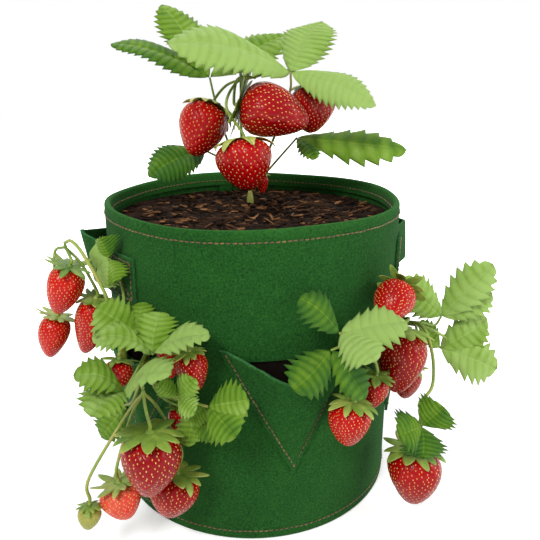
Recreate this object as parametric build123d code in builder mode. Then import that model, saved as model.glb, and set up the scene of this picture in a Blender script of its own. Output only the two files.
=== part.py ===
from math import atan2, cos, degrees, hypot, pi, radians, sin, tan
import os

from build123d import *

# A round felt grow bag with five V-shaped planting pockets round its side, two
# strap handles, potting soil and four strawberry plants: one at the top and
# three in two of the pockets. The origin is the centre of the underside, +Z
# is up, the empty front pocket faces -Y and the handles are at -X and +X.
# An azimuth is in degrees round the bag, from -Y towards +X.

# Bag
bag_radius = 150.0
bag_height = 308.0
felt = 3.0
sewing_gap = 0.3
hem_depth = 16.0
base_flange = 14.0
seam_azimuth = 180.0
seam_strip_width = 16.0

# Soil, below the rim and clear of the felt
soil_below_rim = 23.0
soil_gap = 0.4

# Pockets, each a V of felt sewn over a slit in the wall
pocket_azimuths = {
    "pocket_front": 0.0,
    "pocket_front_left": -60.0,
    "pocket_rear_left": -120.0,
    "pocket_front_right": 60.0,
    "pocket_rear_right": 120.0,
}
planted_pockets = ["pocket_front_left", "pocket_front_right"]
pocket_apex_height = 75.0
pocket_corner_height = 202.0
pocket_half_width = 65.0
pocket_lip_dip = 30.0
pocket_bulge = 20.0
pocket_seam_band = 6.0
pocket_levels = 6
slit_top = 190.7
slit_height = 27.0
slit_half_width = 50.0
slit_corner = 8.0
pocket_soil_below_lip = 8.0

# Handles, each a felt strap with its two ends sewn to the wall
handle_azimuths = {"handle_left": -90.0, "handle_right": 90.0}
strap_width = 44.0
strap_middle_height = 250.0
strap_end_half_span = 32.5
strap_free_half_span = 16.0
strap_reach = 28.0
strap_joint_gap = 0.3

# Sewing thread
stitch_pitch = 5.0
stitch_length = 3.4
thread_width = 0.8
thread_height = 0.6
thread_gap = 0.1
rim_stitch_drop = 10.5
base_stitch_height = 10.0
pocket_stitch_inset = 4.0
box_stitch_inset = 4.0

# Plants
leaf_thickness = 1.2
leaf_gap = 0.7
stalk_radius = 1.3
fruit_stalk_radius = 1.5
pivot_radius = 1.9
pivot_gap = 0.4
stalk_drop = 4.0
calyx_thickness = 0.8
calyx_gap = 0.5
crown_height = 24.0
crown_radius = 4.0
crown_turn = 7.5
crown_taper = 4.0
top_crown_height = 14.0
top_crown_radius = 8.0

# Sizes that follow from those
wall_inner = bag_radius - felt
lining_outer = wall_inner - sewing_gap
lining_inner = lining_outer - felt
patch_inner = bag_radius + sewing_gap
patch_outer = patch_inner + felt
hem_bottom = bag_height - hem_depth
soil_top = bag_height - soil_below_rim
slit_middle = slit_top - slit_height / 2
pocket_half_angle = degrees(pocket_half_width / bag_radius)
lip_middle_height = pocket_corner_height - pocket_lip_dip
pocket_soil_top = lip_middle_height - pocket_soil_below_lip
strap_bottom = strap_middle_height - strap_width / 2
strap_top = strap_middle_height + strap_width / 2
thread_rise = thread_gap + thread_height / 2


def direction(azimuth):
    return Vector(sin(radians(azimuth)), -cos(radians(azimuth)), 0)


def tangent(azimuth):
    return Vector(cos(radians(azimuth)), sin(radians(azimuth)), 0)


def level(azimuth, height):
    """A horizontal plane on the bag's axis, whose own -Y points to the azimuth."""
    return Plane(origin=(0, 0, height), x_dir=tangent(azimuth), z_dir=(0, 0, 1))


def facing(azimuth, radius, height):
    """An upright plane at the bag's side: its X runs round, its Y up, its Z out."""
    origin = direction(azimuth) * radius + Vector(0, 0, height)
    return Plane(origin=origin, x_dir=tangent(azimuth), z_dir=direction(azimuth))


def on_circle(radius, angle):
    return (radius * sin(radians(angle)), -radius * cos(radians(angle)))


def save(builder, name):
    builder.part.label = name
    export_step(builder.part, f"parts/{name}.step")


def stitches(places):
    """A row of thread stitches, each lying along its place's own X."""
    with Locations(*places):
        Box(stitch_length, thread_width, thread_height)


def ring_places(radius, height):
    count = round(2 * pi * radius / stitch_pitch)
    return [Location(facing(360 * n / count, radius, height)) for n in range(count)]


# The pocket's shape at any height between its apex and its corners
def pocket_rise(height):
    return (height - pocket_apex_height) / (pocket_corner_height - pocket_apex_height)


def pocket_angle(height):
    return pocket_half_angle * max(pocket_rise(height), 0.02)


def pouch_angle(height):
    band = degrees(pocket_seam_band / bag_radius)
    return pocket_angle(height) - min(band, pocket_angle(height) / 2)


def pouch_depth(height):
    return pocket_bulge * max(pocket_rise(height), 0.02) ** 1.4


def pocket_heights(top, steps):
    return [pocket_apex_height + (top - pocket_apex_height) * n / steps for n in range(steps + 1)]


def pocket_section(azimuth, height):
    """Felt cut level at this height: a sewn band each side of the bulging pouch."""
    edge, pouch, depth = pocket_angle(height), pouch_angle(height), pouch_depth(height)
    with BuildSketch(level(azimuth, height)) as section:
        with BuildLine():
            for radius in (patch_inner, patch_outer):
                for side in (-1, 1):
                    band_middle = side * (edge + pouch) / 2
                    ThreePointArc(
                        on_circle(radius, side * edge),
                        on_circle(radius, band_middle),
                        on_circle(radius, side * pouch),
                    )
                ThreePointArc(
                    on_circle(radius, -pouch),
                    on_circle(radius + depth, 0),
                    on_circle(radius, pouch),
                )
            for side in (-1, 1):
                Line(on_circle(patch_inner, side * edge), on_circle(patch_outer, side * edge))
        make_face()
    return section.sketch


def pocket_soil_section(azimuth, height):
    inner, clear = bag_radius + soil_gap, degrees(2.5 / bag_radius)
    pouch = max(pouch_angle(height) - clear, 0.2)
    depth = max(pouch_depth(height) - 2 * soil_gap, soil_gap)
    with BuildSketch(level(azimuth, height)) as section:
        with BuildLine():
            for reach in (0, depth):
                ThreePointArc(
                    on_circle(inner, -pouch), on_circle(inner + reach, 0), on_circle(inner, pouch)
                )
        make_face()
    return section.sketch


# Plants are laid out from a seat: a pocket's mouth at the top of its slit, or
# the middle of the soil. A seat's X runs round the bag, its -Y out and Z up.
def mouth(pocket):
    azimuth = pocket_azimuths[pocket]
    origin = direction(azimuth) * bag_radius + Vector(0, 0, slit_top)
    return Plane(origin=origin, x_dir=tangent(azimuth), z_dir=(0, 0, 1))


def place(seat, point):
    return seat.from_local_coords(Vector(*point))


def aim(seat, way):
    return place(seat, way) - seat.origin


def crown_top(side):
    """The top of a pocket plant's crown in its seat, towards one side of the pocket."""
    x, y = on_circle(bag_radius + crown_radius + 1, side * crown_turn)
    return (x, y + bag_radius, pocket_soil_top + soil_gap + crown_height - slit_top)


def stalk(points, radius):
    """A stalk through these points with a wide bend at each, and a round end."""
    runs = [(b - a).length for a, b in zip(points, points[1:])]
    ways = [(b - a).normalized() for a, b in zip(points, points[1:])]
    bends = [
        0.45 * min(runs[n], runs[n + 1]) / tan(radians(ways[n].get_angle(ways[n + 1])) / 2)
        for n in range(len(ways) - 1)
    ]
    with BuildLine() as route:
        FilletPolyline(*points, radius=bends) if bends else Polyline(*points)
    with BuildSketch(Plane(origin=points[0], z_dir=ways[0])) as ring:
        Circle(radius)
    sweep(ring.sketch, path=route.line)
    with Locations(points[-1]):
        Sphere(radius)


def leaflet(joint, tip, width, face):
    """A thin blade from beside the joint to its tip, widest past its middle."""
    along = (tip - joint).normalized()
    start = joint + along * (stalk_radius + leaf_gap)
    length = (tip - start).length
    flat = (face - along * face.dot(along)).normalized()
    with BuildSketch(Plane(origin=start, x_dir=along, z_dir=flat)) as blade:
        with BuildLine():
            for side in (-1, 1):
                widest = (0.55 * length, side * width / 2)
                ThreePointArc((0, 0), (0.27 * length, side * 0.31 * width), widest)
                ThreePointArc(widest, (0.85 * length, side * 0.31 * width), (length, 0))
        make_face()
    extrude(blade.sketch, amount=leaf_thickness / 2, both=True)


def berry(cap, tip, width):
    """A strawberry turned about its own axis: round shoulders and a blunt tip."""
    up, length = (cap - tip).normalized(), (cap - tip).length
    side = up.cross(Vector(0.3, 0.9, 0.1)).normalized()
    seat, shoulder = (0.16 * width, 0), (0.5 * width, -0.33 * length)
    cheek = (0.15 * width, -0.94 * length)
    with BuildSketch(Plane(origin=cap, x_dir=side, z_dir=side.cross(up))) as half:
        with BuildLine():
            Line((0, 0), seat)
            ThreePointArc(seat, (0.41 * width, -0.1 * length), shoulder)
            ThreePointArc(shoulder, (0.39 * width, -0.68 * length), cheek)
            Polyline(cheek, (0, -length), (0, 0))
        make_face()
    revolve(half.sketch, axis=Axis(cap, up))


def calyx(cap, tip, width):
    """A six-pointed green cap just above the berry's shoulders."""
    up = (cap - tip).normalized()
    side = up.cross(Vector(0.3, 0.9, 0.1)).normalized()
    with BuildSketch(Plane(origin=cap + up * calyx_gap, x_dir=side, z_dir=up)) as star:
        points = [
            Vector(width * (0.36 if n % 2 else 0.14), 0, 0).rotate(Axis.Z, 30 * n)
            for n in range(12)
        ]
        Polygon(*[(p.X, p.Y) for p in points], align=None)
    extrude(star.sketch, amount=calyx_thickness)


def fruit_stalk(points, cap, tip):
    """The stalk from these points into the middle of a berry's cap."""
    up = (cap - tip).normalized()
    reach = calyx_gap + calyx_thickness + leaf_gap + fruit_stalk_radius
    stalk([*points, cap + up * (reach + stalk_drop), cap + up * reach], fruit_stalk_radius)


os.makedirs("parts", exist_ok=True)

# Wall: a tube of felt, folded in over itself at the rim, with a slit behind each pocket
fold_outer = (bag_radius - lining_inner) / 2
fold_inner = sewing_gap / 2
fold_radius = bag_radius - fold_outer
fold_height = bag_height - fold_outer
with BuildPart() as bag_wall:
    with BuildSketch(Plane.XZ):
        with BuildLine():
            Polyline((wall_inner, fold_height), (wall_inner, 0), (bag_radius, 0), (bag_radius, fold_height))
            ThreePointArc((bag_radius, fold_height), (fold_radius, bag_height), (lining_inner, fold_height))
            Polyline(
                (lining_inner, fold_height),
                (lining_inner, hem_bottom),
                (lining_outer, hem_bottom),
                (lining_outer, fold_height),
            )
            ThreePointArc(
                (lining_outer, fold_height),
                (fold_radius, fold_height + fold_inner),
                (wall_inner, fold_height),
            )
        make_face()
    revolve(axis=Axis.Z)
    for azimuth in pocket_azimuths.values():
        with BuildSketch(facing(azimuth, bag_radius, slit_middle)):
            RectangleRounded(2 * slit_half_width, slit_height, slit_corner)
        extrude(amount=pocket_bulge, both=True, mode=Mode.SUBTRACT)
save(bag_wall, "bag_wall")

# Base: a disc of felt whose turned-up edge is sewn inside the foot of the wall
with BuildPart() as bag_base:
    with BuildSketch(Plane.XZ):
        with BuildLine():
            Polyline(
                (0, 0),
                (lining_outer, 0),
                (lining_outer, base_flange),
                (lining_inner, base_flange),
                (lining_inner, felt),
                (0, felt),
                close=True,
            )
        make_face()
    revolve(axis=Axis.Z)
save(bag_base, "bag_base")

# Back seam: the strip that joins the wall's two ends, inside the wall
strip_bottom = base_flange + sewing_gap
strip_top = hem_bottom - sewing_gap
strip_half_angle = degrees(seam_strip_width / 2 / lining_outer)
with BuildPart() as back_seam_strip:
    with BuildSketch(level(seam_azimuth, strip_bottom)):
        with BuildLine():
            for radius in (lining_inner, lining_outer):
                ThreePointArc(
                    on_circle(radius, -strip_half_angle),
                    on_circle(radius, 0),
                    on_circle(radius, strip_half_angle),
                )
            for side in (-1, 1):
                Line(
                    on_circle(lining_inner, side * strip_half_angle),
                    on_circle(lining_outer, side * strip_half_angle),
                )
        make_face()
    extrude(amount=strip_top - strip_bottom)
save(back_seam_strip, "back_seam_strip")

# Soil: fills the bag inside the base's edge and the wall, and goes round the seam strip
with BuildPart() as soil:
    with BuildSketch(Plane.XZ):
        with BuildLine():
            Polyline(
                (0, felt + soil_gap),
                (lining_inner - soil_gap, felt + soil_gap),
                (lining_inner - soil_gap, base_flange + soil_gap),
                (wall_inner - soil_gap, base_flange + soil_gap),
                (wall_inner - soil_gap, soil_top),
                (0, soil_top),
                close=True,
            )
        make_face()
    revolve(axis=Axis.Z)
    with BuildSketch(facing(seam_azimuth, lining_inner - soil_gap, 0)):
        with Locations((0, (soil_top + base_flange) / 2)):
            Rectangle(seam_strip_width + 2 * soil_gap, soil_top)
    extrude(amount=bag_radius - lining_inner, mode=Mode.SUBTRACT)
save(soil, "soil")

with BuildPart() as pocket_soil:
    for pocket in planted_pockets:
        azimuth = pocket_azimuths[pocket]
        for height in pocket_heights(pocket_soil_top, pocket_levels)[1:]:
            add(pocket_soil_section(azimuth, height))
        loft(ruled=True)
save(pocket_soil, "pocket_soil")

# Pockets: a V of felt, sewn to the wall along both sides, with a hollowed lip
for name, azimuth in pocket_azimuths.items():
    with BuildPart() as pocket:
        for height in pocket_heights(pocket_corner_height, pocket_levels):
            add(pocket_section(azimuth, height))
        loft(ruled=True)
        half_width = patch_outer * sin(radians(pocket_half_angle)) + felt
        with BuildSketch(facing(azimuth, 0, 0)):
            with BuildLine():
                ThreePointArc(
                    (-half_width, pocket_corner_height),
                    (0, lip_middle_height),
                    (half_width, pocket_corner_height),
                )
                Polyline(
                    (half_width, pocket_corner_height),
                    (half_width, bag_height),
                    (-half_width, bag_height),
                    (-half_width, pocket_corner_height),
                )
            make_face()
        extrude(amount=bag_radius + 2 * pocket_bulge, mode=Mode.SUBTRACT)
    save(pocket, name)

# Handles: the free loop stands off the wall, and its sewn ends lie flat on it
loop_end = patch_inner * sin(radians(strap_free_half_span))
loop_foot = patch_inner * cos(radians(strap_free_half_span))
for name, azimuth in handle_azimuths.items():
    with BuildPart() as handle_ends:
        for side in (-1, 1):
            with BuildSketch(level(azimuth, strap_bottom)):
                with BuildLine():
                    middle = side * (strap_end_half_span + strap_free_half_span) / 2
                    for radius in (patch_inner, patch_outer):
                        ThreePointArc(
                            on_circle(radius, side * strap_free_half_span),
                            on_circle(radius, middle),
                            on_circle(radius, side * strap_end_half_span),
                        )
                    for angle in (side * strap_free_half_span, side * strap_end_half_span):
                        Line(on_circle(patch_inner, angle), on_circle(patch_outer, angle))
                make_face()
            extrude(amount=strap_width)
    save(handle_ends, f"{name}_ends")
    with BuildPart() as handle_loop:
        with BuildSketch(level(azimuth, strap_bottom)):
            with BuildLine():
                end = loop_end - strap_joint_gap
                reach = bag_radius + strap_reach
                ThreePointArc((-end, -loop_foot - felt), (0, -reach), (end, -loop_foot - felt))
                ThreePointArc((-end, -loop_foot), (0, -reach + felt), (end, -loop_foot))
                for side in (-1, 1):
                    Line((side * end, -loop_foot), (side * end, -loop_foot - felt))
            make_face()
        extrude(amount=strap_width)
    save(handle_loop, name)

# Sewing: rows of separate stitches on the felt
with BuildPart() as rim_stitching:
    stitches(ring_places(bag_radius + thread_rise, bag_height - rim_stitch_drop))
    stitches(ring_places(lining_inner - thread_rise, bag_height - rim_stitch_drop))
save(rim_stitching, "rim_stitching")

with BuildPart() as base_stitching:
    stitches(ring_places(bag_radius + thread_rise, base_stitch_height))
save(base_stitching, "base_stitching")

with BuildPart() as back_seam_stitching:
    seam_length = bag_height - rim_stitch_drop - base_stitch_height - 2 * stitch_pitch
    seam_count = round(seam_length / stitch_pitch)
    upright = Location((0, 0, 0), (0, 0, 90))
    seam_places = [
        facing(seam_azimuth, bag_radius + thread_rise, base_stitch_height + n * stitch_pitch)
        for n in range(1, seam_count + 1)
    ]
    stitches([Location(plane) * upright for plane in seam_places])
save(back_seam_stitching, "back_seam_stitching")

with BuildPart() as pocket_stitching:
    pocket_height = pocket_corner_height - pocket_apex_height
    side_length = hypot(pocket_half_width, pocket_height)
    side_slope = degrees(atan2(pocket_height, pocket_half_width))
    inset_angle = degrees(pocket_stitch_inset / sin(radians(side_slope)) / bag_radius)
    side_count = round(side_length / stitch_pitch)
    pocket_places = []
    for azimuth in pocket_azimuths.values():
        for side in (-1, 1):
            for n in range(6, side_count):
                height = pocket_apex_height + pocket_height * n / side_count
                turn = side * (pocket_angle(height) - inset_angle)
                plane = facing(azimuth + turn, patch_outer + thread_rise, height)
                pocket_places.append(Location(plane) * Location((0, 0, 0), (0, 0, side * side_slope)))
    stitches(pocket_places)
save(pocket_stitching, "pocket_stitching")

box_width = (patch_outer * radians(strap_end_half_span - strap_free_half_span)) - 2 * box_stitch_inset
box_height = strap_width - 2 * box_stitch_inset
for name, azimuth in handle_azimuths.items():
    with BuildPart() as handle_stitching:
        box_places = []
        for side in (-1, 1):
            middle = azimuth + side * (strap_end_half_span + strap_free_half_span) / 2
            corners = [(-1, -1), (1, -1), (1, 1), (-1, 1)]
            sides = [*zip(corners, corners[1:] + corners[:1]), (corners[0], corners[2]), (corners[1], corners[3])]
            for (x0, y0), (x1, y1) in sides:
                run_x, run_y = (x1 - x0) * box_width / 2, (y1 - y0) * box_height / 2
                count = int(hypot(run_x, run_y) / stitch_pitch)
                for n in range(count):
                    share = (n + 0.5) / count
                    if abs(share - 0.5) < 0.3 / count and run_x * run_y > 0:
                        continue
                    x = x0 * box_width / 2 + run_x * share
                    y = y0 * box_height / 2 + run_y * share
                    turn = degrees(x / patch_outer)
                    plane = facing(middle + turn, patch_outer + thread_rise, strap_middle_height + y)
                    slope = degrees(atan2(run_y, run_x))
                    box_places.append(Location(plane) * Location((0, 0, 0), (0, 0, slope)))
        stitches(box_places)
    save(handle_stitching, f"{name}_stitching")

# Plants. Every point is set by hand in its seat, in millimetres.
top_seat = Plane(origin=(0, 0, soil_top))
left_seat = mouth("pocket_front_left")
right_seat = mouth("pocket_front_right")
top_crown = (13, 65, top_crown_height)
left_crown = crown_top(1)
side_crown = crown_top(-1)
right_crown = crown_top(-1)

# A leaf is its stalk's route, the joint, its leaflets as tip and width, and the way it faces
leaves = {
    "top_leaf_pale": (
        top_seat,
        [top_crown, (34, 44, 72), (44, 16, 122), (42, 5, 143)],
        [((-80, -12, 172), 56), ((83, 31, 195), 50), ((115, -43, 116), 44)],
        (-0.2, -0.6, 0.75),
    ),
    "top_leaf_dark": (
        top_seat,
        [top_crown, (-12, 62, 70), (-26, 54, 112), (-31, 59, 138)],
        [((-128, 72, 175), 44), ((-72, 94, 213), 46), ((68, 88, 188), 46)],
        (0.1, -0.5, 0.85),
    ),
    "top_leaf_low": (
        top_seat,
        [top_crown, (-8, 66, 44), (-38, 62, 62)],
        [((-102, 46, 40), 46)],
        (-0.3, -0.7, 0.6),
    ),
    "top_leaf_right": (
        top_seat,
        [top_crown, (36, 52, 44), (58, 32, 76)],
        [((172, -5, 67), 40), ((70, 2, 58), 24)],
        (0.1, -0.7, 0.7),
    ),
    "left_leaf_high": (
        left_seat,
        [left_crown, (48, -18, 14), (75, -33, 24)],
        [((56, -67, 46), 30), ((106, 0, 42), 34), ((59, -12, 50), 26)],
        (0.2, -0.3, 0.9),
    ),
    "left_leaf_back": (
        left_seat,
        [left_crown, (38, -14, 12), (40, -22, 26)],
        [((8, -42, 48), 34), ((14, -52, 26), 26), ((22, -6, 47), 22)],
        (0.3, -0.4, 0.8),
    ),
    "left_leaf_front": (
        left_seat,
        [left_crown, (46, -20, 12), (68, -40, 16), (71, -58, -1)],
        [((54, -90, 20), 34), ((108, -40, 24), 38), ((82, -94, -2), 32)],
        (0.3, -0.4, 0.85),
    ),
    "left_leaf_low": (
        left_seat,
        [left_crown, (44, -22, 4), (54, -34, -8), (51, -40, -26), (40, -42, -34)],
        [((18, -56, -70), 26), ((14, -28, -48), 20)],
        (0.7, -0.6, 0.3),
    ),
    "left_leaf_right": (
        left_seat,
        [left_crown, (44, -20, 0), (74, -22, -16), (109, -6, -21)],
        [((136, 14, -12), 30), ((138, -2, -38), 30), ((96, -16, -36), 18)],
        (0.6, -0.6, 0.5),
    ),
    "left_leaf_small": (
        left_seat,
        [left_crown, (46, -24, -2), (84, -28, -10), (97, -26, -8)],
        [((114, -22, 12), 18), ((118, -26, -14), 17), ((90, -40, 6), 14)],
        (0.6, -0.6, 0.5),
    ),
    "left_leaf_hanging": (
        left_seat,
        [left_crown, (46, -22, -1), (70, -24, -20), (92, -8, -32)],
        [((89, -14, -66), 26), ((116, -6, -50), 22)],
        (0.7, -0.6, 0.3),
    ),
    "side_leaf": (
        left_seat,
        [side_crown, (-6, -12, 14), (-6, -7, 44), (-14, -6, 62), (-16, -12, 79)],
        [
            ((-22, -18, 98), 24),
            ((2, -20, 64), 20),
            ((-12, -24, 56), 20),
            ((-28, -22, 58), 22),
            ((-38, -20, 82), 22),
        ],
        (0.2, -0.9, 0.3),
    ),
    "right_leaf_left": (
        right_seat,
        [right_crown, (-56, 2, 22), (-96, 14, 24), (-138, 35, 33)],
        [((-143, 68, 64), 30), ((-117, -18, 42), 36), ((-158, 4, 22), 38)],
        (-0.5, -0.3, 0.8),
    ),
    "right_leaf_pocket": (
        right_seat,
        [right_crown, (-56, 4, 16), (-98, 20, 14), (-134, 42, 15)],
        [((-162, 68, -12), 36), ((-140, 10, -24), 26)],
        (-0.8, -0.5, 0.3),
    ),
    "right_leaf_high": (
        right_seat,
        [right_crown, (-24, -30, 2), (-8, -44, -6), (-3, -50, 2)],
        [((15, -96, 56), 36), ((-28, -12, 47), 34), ((28, -100, 22), 28)],
        (-0.8, -0.2, 0.5),
    ),
    "right_leaf_far": (
        right_seat,
        [right_crown, (-28, -32, 0), (-20, -50, -10), (-6, -57, -22), (-1, -52, -34)],
        [((10, -112, -56), 40), ((26, -98, -6), 34), ((-18, -30, 0), 20)],
        (-0.8, -0.2, 0.55),
    ),
}

# A berry is its cap, its tip, its width and the points its stalk comes by
still_berries = {
    "top": (top_seat, [((30, 74, 30), (29, 71, 9), 15, [top_crown, (22, 68, 42)])]),
    "left": (
        left_seat,
        [
            ((38, -42, 8), (41, -50, -15), 25, [left_crown, (26, -22, 10)]),
            ((57, -6, 18), (66, -10, -10), 21, [left_crown, (40, -8, 18)]),
            ((84, -4, 18), (91, -2, -15), 28, [left_crown, (56, -14, 28)]),
            ((66, -6, -42), (66, -12, -60), 15, [left_crown, (46, -18, -2), (60, -16, -24)]),
            ((84, 8, -44), (90, 12, -62), 15, [left_crown, (46, -18, -2), (74, -8, -24)]),
        ],
    ),
    "right": (
        right_seat,
        [
            ((-66, -10, 51), (-102, 2, 34), 38, [right_crown, (-42, -7, 38)]),
            ((-62, -16, 8), (-72, -12, -52), 45, [right_crown, (-44, -18, 14)]),
            ((-28, -22, -46), (-28, -20, -82), 30, [right_crown, (-30, -26, 0)]),
            ((-98, 6, -24), (-100, 10, -56), 29, [right_crown, (-60, 4, 16), (-92, 12, 8)]),
            ((-128, 22, -36), (-132, 26, -77), 38, [right_crown, (-60, 4, 16), (-112, 26, 4)]),
        ],
    ),
}

# A hanging truss turns at its pivot, which hangs from the crown by the points of its own stalk
trusses = {
    "top": (
        top_seat,
        [top_crown, (2, 56, 72), (0, 36, 128), (5, 18, 148)],
        (5, 6, 143),
        [
            ((-34, 40, 109), (-58, 19, 63), 52, [(-18, 26, 132)]),
            ((-9, 7, 113), (54, -18, 96), 54, [(-12, 8, 137)]),
            ((75, 28, 128), (68, 20, 82), 47, [(42, 28, 146)]),
            ((-12, -14, 80), (-11, -30, 33), 55, [(-14, 4, 134), (-26, -2, 112)]),
        ],
    ),
    "left": (
        left_seat,
        [left_crown, (46, -24, 0), (60, -38, 2)],
        (70, -41, -6),
        [
            ((80, -44, -42), (81, -49, -99), 50, [(75, -43, -22)]),
            ((74, -16, -100), (71, -26, -141), 43, [(64, -24, -34), (74, -10, -76)]),
            ((40, -54, -108), (48, -53, -141), 36, [(54, -44, -36), (44, -56, -84)]),
            ((32, -80, -122), (33, -84, -143), 20, [(58, -50, -30), (36, -79, -90)]),
        ],
    ),
    "side": (
        left_seat,
        [side_crown, (-4, -22, 14), (2, -28, 50), (-12, -38, 88), (-30, -39, 98)],
        (-44, -39, 94),
        [
            ((-34, -42, 74), (-45, -53, 30), 33, []),
            ((-28, -23, 40), (-39, -34, -14), 33, [(-34, -30, 74)]),
            ((-66, -44, 18), (-74, -53, -24), 30, [(-60, -42, 82), (-68, -41, 46)]),
        ],
    ),
    "right": (
        right_seat,
        [right_crown, (-34, -30, 4), (-43, -43, -20), (-50, -46, -52)],
        (-71, -35, -60),
        [((-69, -33, -114), (-72, -37, -174), 52, [(-72, -37, -78)])],
    ),
}

# The leaf that rides on the right truss, from a point of its stalk
truss_leaf = (
    [(-71, -35, -68), (-80, -39, -80)],
    [((-78, -57, -58), 30), ((-92, -42, -107), 32), ((-106, -20, -76), 30)],
    (-0.8, -0.3, 0.5),
)

for name, (seat, route, blades, face) in leaves.items():
    with BuildPart() as leaf:
        for tip, width in blades:
            leaflet(place(seat, route[-1]), place(seat, tip), width, aim(seat, face))
    save(leaf, name)

# Each plant's crown and the stalks that grow from it are one piece
crowns = {"top": top_crown, "left": left_crown, "side": side_crown, "right": right_crown}
for plant, crown in crowns.items():
    own_leaves = [leaf for name, leaf in leaves.items() if name.startswith(plant)]
    with BuildPart() as stalks:
        seat = own_leaves[0][0]
        tall, thick = (
            (top_crown_height, top_crown_radius) if plant == "top" else (crown_height, crown_radius)
        )
        foot = place(seat, crown) - Vector(0, 0, tall - (soil_gap if plant == "top" else 0))
        with BuildSketch(Plane(origin=foot)) as ring:
            Circle(thick)
        extrude(amount=(place(seat, crown) - foot).Z, taper=crown_taper)
        for _, route, _, _ in own_leaves:
            stalk([place(seat, point) for point in route], stalk_radius)
        for cap, tip, _, route in still_berries.get(plant, (seat, []))[1]:
            fruit_stalk([place(seat, p) for p in route], place(seat, cap), place(seat, tip))
        _, route, pivot, _ = trusses[plant]
        stalk([place(seat, p) for p in [*route, pivot]], fruit_stalk_radius)
    save(stalks, f"{plant}_stalks")

for plant, (seat, fruit) in still_berries.items():
    with BuildPart() as berries:
        for cap, tip, width, _ in fruit:
            berry(place(seat, cap), place(seat, tip), width)
    save(berries, f"{plant}_berries")
    with BuildPart() as calyxes:
        for cap, tip, width, _ in fruit:
            calyx(place(seat, cap), place(seat, tip), width)
    save(calyxes, f"{plant}_calyxes")

# The hanging trusses: stalks that start just below the pivot, berries and calyxes
for plant, (seat, _, pivot, fruit) in trusses.items():
    start = place(seat, pivot) - Vector(0, 0, fruit_stalk_radius + pivot_gap + pivot_radius)
    with BuildPart() as truss_stalks:
        with Locations(start):
            Sphere(pivot_radius)
        for cap, tip, _, route in fruit:
            fruit_stalk([start, *[place(seat, p) for p in route]], place(seat, cap), place(seat, tip))
        if plant == "right":
            stalk([place(seat, p) for p in truss_leaf[0]], stalk_radius)
    save(truss_stalks, f"{plant}_truss_stalks")
    with BuildPart() as berries:
        for cap, tip, width, _ in fruit:
            berry(place(seat, cap), place(seat, tip), width)
    save(berries, f"{plant}_truss_berries")
    with BuildPart() as calyxes:
        for cap, tip, width, _ in fruit:
            calyx(place(seat, cap), place(seat, tip), width)
    save(calyxes, f"{plant}_truss_calyxes")

route, blades, face = truss_leaf
with BuildPart() as leaf:
    for tip, width in blades:
        leaflet(place(right_seat, route[-1]), place(right_seat, tip), width, aim(right_seat, face))
save(leaf, "right_truss_leaf")
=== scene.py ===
import math

import bmesh
import bpy
import numpy as np
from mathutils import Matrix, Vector


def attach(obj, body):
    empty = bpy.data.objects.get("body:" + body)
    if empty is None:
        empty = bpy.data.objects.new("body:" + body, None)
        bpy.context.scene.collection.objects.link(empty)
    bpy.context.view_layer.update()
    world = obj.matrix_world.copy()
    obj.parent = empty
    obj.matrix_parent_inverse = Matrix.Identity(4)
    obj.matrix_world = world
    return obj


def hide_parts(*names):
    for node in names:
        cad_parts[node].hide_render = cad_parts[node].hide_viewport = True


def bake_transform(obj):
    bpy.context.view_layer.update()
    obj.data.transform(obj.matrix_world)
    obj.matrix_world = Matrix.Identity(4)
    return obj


# Looks for a round felt grow bag with strawberry plants. Lengths in this
# script are in millimetres until a mesh is built, and azimuths are in degrees
# round the bag from -Y towards +X.

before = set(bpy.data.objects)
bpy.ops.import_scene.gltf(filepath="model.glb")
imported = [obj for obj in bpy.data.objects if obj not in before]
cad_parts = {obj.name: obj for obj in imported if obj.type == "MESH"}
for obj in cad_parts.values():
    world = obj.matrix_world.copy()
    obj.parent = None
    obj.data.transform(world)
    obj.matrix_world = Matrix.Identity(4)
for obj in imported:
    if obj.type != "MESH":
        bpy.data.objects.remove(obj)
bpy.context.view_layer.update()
MM = 0.001

# The bag's own sizes
RADIUS = 150.0
HEIGHT = 308.0
FELT = 3.0
SEWING_GAP = 0.3
HEM_DEPTH = 16.0
SOIL_TOP = 285.0
SEAM = 180.0
SLIT_TOP = 190.7
SLIT_HEIGHT = 27.0
SLIT_HALF_ANGLE = 19.0
SLIT_COVER = 3.0
POCKETS = {
    "pocket_front": 0.0,
    "pocket_front_left": -60.0,
    "pocket_rear_left": -120.0,
    "pocket_front_right": 60.0,
    "pocket_rear_right": 120.0,
}
POCKET_LEAN = {"pocket_front": 0.66, "pocket_rear_left": -0.3, "pocket_rear_right": 0.3}
POCKET_APEX = 75.0
POCKET_CORNER = 202.0
POCKET_HALF_WIDTH = 65.0
POCKET_HALF_ANGLE = math.degrees(POCKET_HALF_WIDTH / RADIUS)
LIP_DIP = 30.0
POCKET_BULGE = 20.0
POCKET_BAND = 6.0
HANDLES = {"handle_left": -90.0, "handle_right": 90.0}
STRAP_WIDTH = 44.0
STRAP_MIDDLE = 250.0
STRAP_END = 32.5
STRAP_FREE = 16.0
STITCH_PITCH = 5.0
STITCH_LENGTH = 4.2
THREAD = 0.55
STITCH_INSET = 4.0
RIM_START = 304.6
SOIL_RADIUS = 146.3
DIMPLE_DEPTH = 0.021

WALL_MIDDLE = RADIUS - FELT / 2
LINING_MIDDLE = WALL_MIDDLE - FELT - SEWING_GAP
PATCH_MIDDLE = RADIUS + SEWING_GAP + FELT / 2
PATCH_OUTER = RADIUS + SEWING_GAP + FELT


# Materials


def colour(red, green, blue):
    """A colour seen on a screen, 0 to 255 each, as the linear colour that a shader takes."""
    screen = np.array([red, green, blue]) / 255
    linear = np.where(screen <= 0.04045, screen / 12.92, ((screen + 0.055) / 1.055) ** 2.4)
    return (*linear.tolist(), 1.0)


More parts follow.
